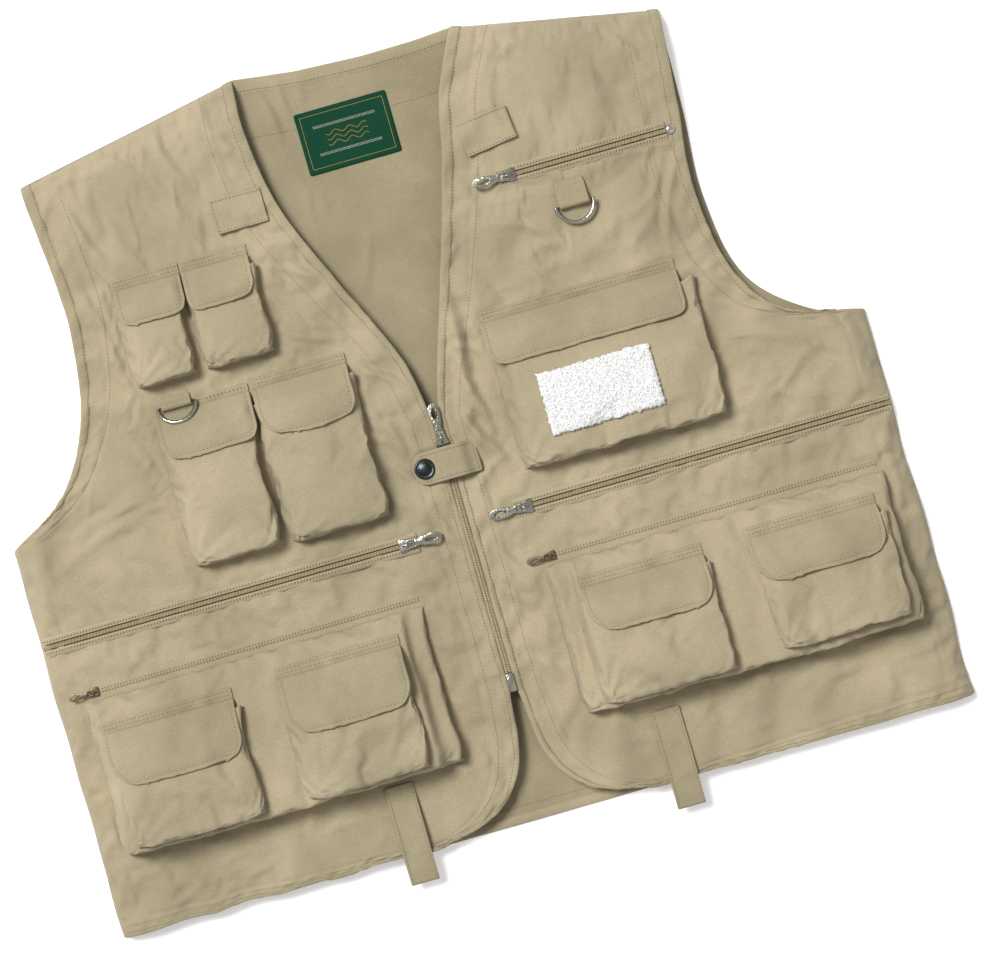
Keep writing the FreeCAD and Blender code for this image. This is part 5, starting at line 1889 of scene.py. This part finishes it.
@dataclass
class Studio:
    """Pale floor, a large soft light from the upper left, a faint fill, a pale surround and the camera."""
    roll: float = math.radians(16.0)
    width: float = 0.72
    distance: float = 2.3
    centre: tuple[float, float] = (31.3, 239.7)
    sensor: float = 36.0

    def build(self) -> None:
        """Set the floor, lights and camera."""
        bm = bmesh.new()
        bmesh.ops.create_grid(bm, x_segments=2, y_segments=2, size=6.0)
        floor = to_object(bm, "floor")
        material = bpy.data.materials.new("pale_floor")
        material.use_nodes = True
        shader = material.node_tree.nodes["Principled BSDF"]
        for name, value in (("Base Color", linear("FAFAFA")), ("Roughness", 0.9), ("Specular IOR Level", 0.1),
                            ("Emission Color", linear("FFFFFF")), ("Emission Strength", 0.3)):
            shader.inputs[name].default_value = value
        floor.data.materials.append(material)
        image_up = Vector((math.sin(self.roll), math.cos(self.roll), 0.0))
        image_right = Vector((math.cos(self.roll), -math.sin(self.roll), 0.0))
        aim = plan(*self.centre, 20.0)
        for lamp in LAMPS:
            self._light(lamp, aim + image_up * lamp.up + image_right * lamp.right + UP * lamp.above, aim)
        world = bpy.data.worlds.new("surround")
        world.use_nodes = True
        background = world.node_tree.nodes["Background"]
        background.inputs["Color"].default_value = linear("FFFFFF")
        background.inputs["Strength"].default_value = 0.34
        bpy.context.scene.world = world
        bpy.context.scene.view_settings.view_transform = "Standard"
        camera = bpy.data.cameras.new("camera")
        camera.sensor_width = self.sensor
        camera.lens = self.sensor * self.distance / self.width
        spot = bpy.data.objects.new("camera", camera)
        bpy.context.scene.collection.objects.link(spot)
        turn = Matrix((image_right, image_up, UP)).transposed().to_4x4()
        turn.translation = aim + UP * self.distance
        spot.matrix_world = turn
        bpy.context.scene.camera = spot

    @staticmethod
    def _light(lamp: Lamp, place: Vector, aim: Vector) -> None:
        """Set a lamp at a place and turn it towards a point."""
        light = bpy.data.lights.new(lamp.name, "AREA")
        light.size = lamp.size
        light.energy = lamp.power
        thing = bpy.data.objects.new(lamp.name, light)
        thing.location = place
        thing.rotation_euler = (aim - place).to_track_quat("-Z", "Y").to_euler()
        bpy.context.scene.collection.objects.link(thing)


POCKETS = (
    Pocket("right_fly_pocket_outer", 8, 14, turn_left=7, turn_right=6, cell=2.8, seed=1.3),
    Pocket("right_fly_pocket_inner", 8, 14, turn_left=6, turn_right=7, cell=2.8, seed=2.3),
    Pocket("right_mid_pocket_outer", 8, 16, turn_left=9, turn_right=6, seed=3.3, folds=(1.9, 0.7)),
    Pocket("right_mid_pocket_inner", 8, 16, turn_left=7, turn_right=6, seed=4.3),
    Pocket("left_chest_pocket", 8, 17, turn_left=14, turn_right=8, seed=5.3, crown=3.4, folds=(2.0, 1.0)),
)
FLATTER = Recipe(growth=0.022, pressure=0.1, bending=0.9, frames=14, cap=2.0 * MM)
BELLOWS = (
    Pocket("right_bellows_pocket", 8, 23, turn_left=12, turn_right=22, turn_foot=9, cell=4.2, seed=6.3,
           zipped=True, crown=1.0, slope=1.0, folds=(2.2, 1.4), recipe=FLATTER),
    Pocket("left_bellows_pocket", 8, 23, turn_left=22, turn_right=14, turn_foot=9, cell=4.2, seed=7.3,
           zipped=True, crown=1.0, slope=1.0, folds=(2.4, 1.2), recipe=FLATTER),
)
PATCHES = (
    Pocket("right_patch_pocket_outer", 6, 10, turn_left=10, turn_right=6, seed=8.3, folds=(1.9, 0.8)),
    Pocket("right_patch_pocket_inner", 6, 10, turn_left=9, turn_right=6, seed=9.3),
    Pocket("left_patch_pocket_inner", 6, 10, turn_left=11, turn_right=6, seed=10.3, folds=(1.9, 0.8)),
    Pocket("left_patch_pocket_outer", 6, 10, turn_left=10, turn_right=6, seed=11.3),
)
FLAPS = (
    Flap("right_fly_flap_outer", seed=1.7, corner_left=12, corner_right=10),
    Flap("right_fly_flap_inner", seed=2.7, corner_left=9, corner_right=12),
    Flap("right_mid_flap_outer", seed=3.7, strip=4.0, corner_left=16, corner_right=12),
    Flap("right_mid_flap_inner", seed=4.7, corner_left=19, corner_right=13, bow=2.5),
    Flap("left_chest_flap", seed=5.7, corner_left=13, corner_right=9),
    Flap("right_patch_flap_outer", seed=6.7, corner_left=25, corner_right=14),
    Flap("right_patch_flap_inner", seed=7.7, corner_left=21, corner_right=17),
    Flap("left_patch_flap_inner", seed=8.7, corner_left=22, corner_right=16),
    Flap("left_patch_flap_outer", seed=9.7, corner_left=21, corner_right=16),
)
ZIPS = (
    Zip("chest_zip", 90, 217), Zip("left_waist_zip", 36, 319), Zip("right_waist_zip", -319, -37),
    Zip("left_bellows_zip", 44, 297, welt=False), Zip("right_bellows_zip", -300, -48, welt=False),
)


def main() -> None:
    """Build the vest from the surface upwards, then the studio."""
    back = Back()
    back.build()
    fronts = {side: Front(side) for side in Side}
    for front in fronts.values():
        front.build()
    shell = [fronts[side].net.tree() for side in Side]
    for pocket in POCKETS + BELLOWS:
        pocket.build(shell)
    bellows = [pocket.net.tree() for pocket in BELLOWS]
    for pocket in PATCHES:
        pocket.build(bellows)
    cloths = shell + [pocket.net.tree() for pocket in POCKETS + BELLOWS + PATCHES]
    for flap in FLAPS:
        flap.build(cloths)
    for zip_line in ZIPS:
        zip_line.build(shell)
    MainZip().build()
    Slider("main_zip").build()
    for zip_line in ZIPS:
        slider = Slider(zip_line.name) if zip_line.welt else Slider(zip_line.name, size=0.68, finish=ENAMEL)
        slider.build()
    DRing("left", 18.0).build()
    DRing("right", 7.0, tilt=math.radians(26)).build()
    tabs = (
        (Tab("left_rod_tab", 25, 38, math.radians(7), seed=1.1), plan(73.3, 486, 15.4)),
        (Tab("right_rod_tab", 25, 38, math.pi, seed=2.1), plan(-76.3, 482, 15.4)),
        (Tab("left_rod_strap", 21, 73, -math.pi / 2, seed=3.1, droop=4.0), plan(101, 52, 15.4)),
        (Tab("right_rod_strap", 21, 73, -math.pi / 2, seed=4.1, droop=4.0), plan(-99, 52, 15.4)),
    )
    for tab, root in tabs:
        tab.build(shell, root)
    SnapTab().build()
    NeckLabel().build([back.net.tree()])
    FleecePatch().build([POCKETS[-1].net.tree()])
    Lining().build(shell)
    EndStop().build()
    Studio().build()
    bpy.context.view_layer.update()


if __name__ == "__main__":
    main()
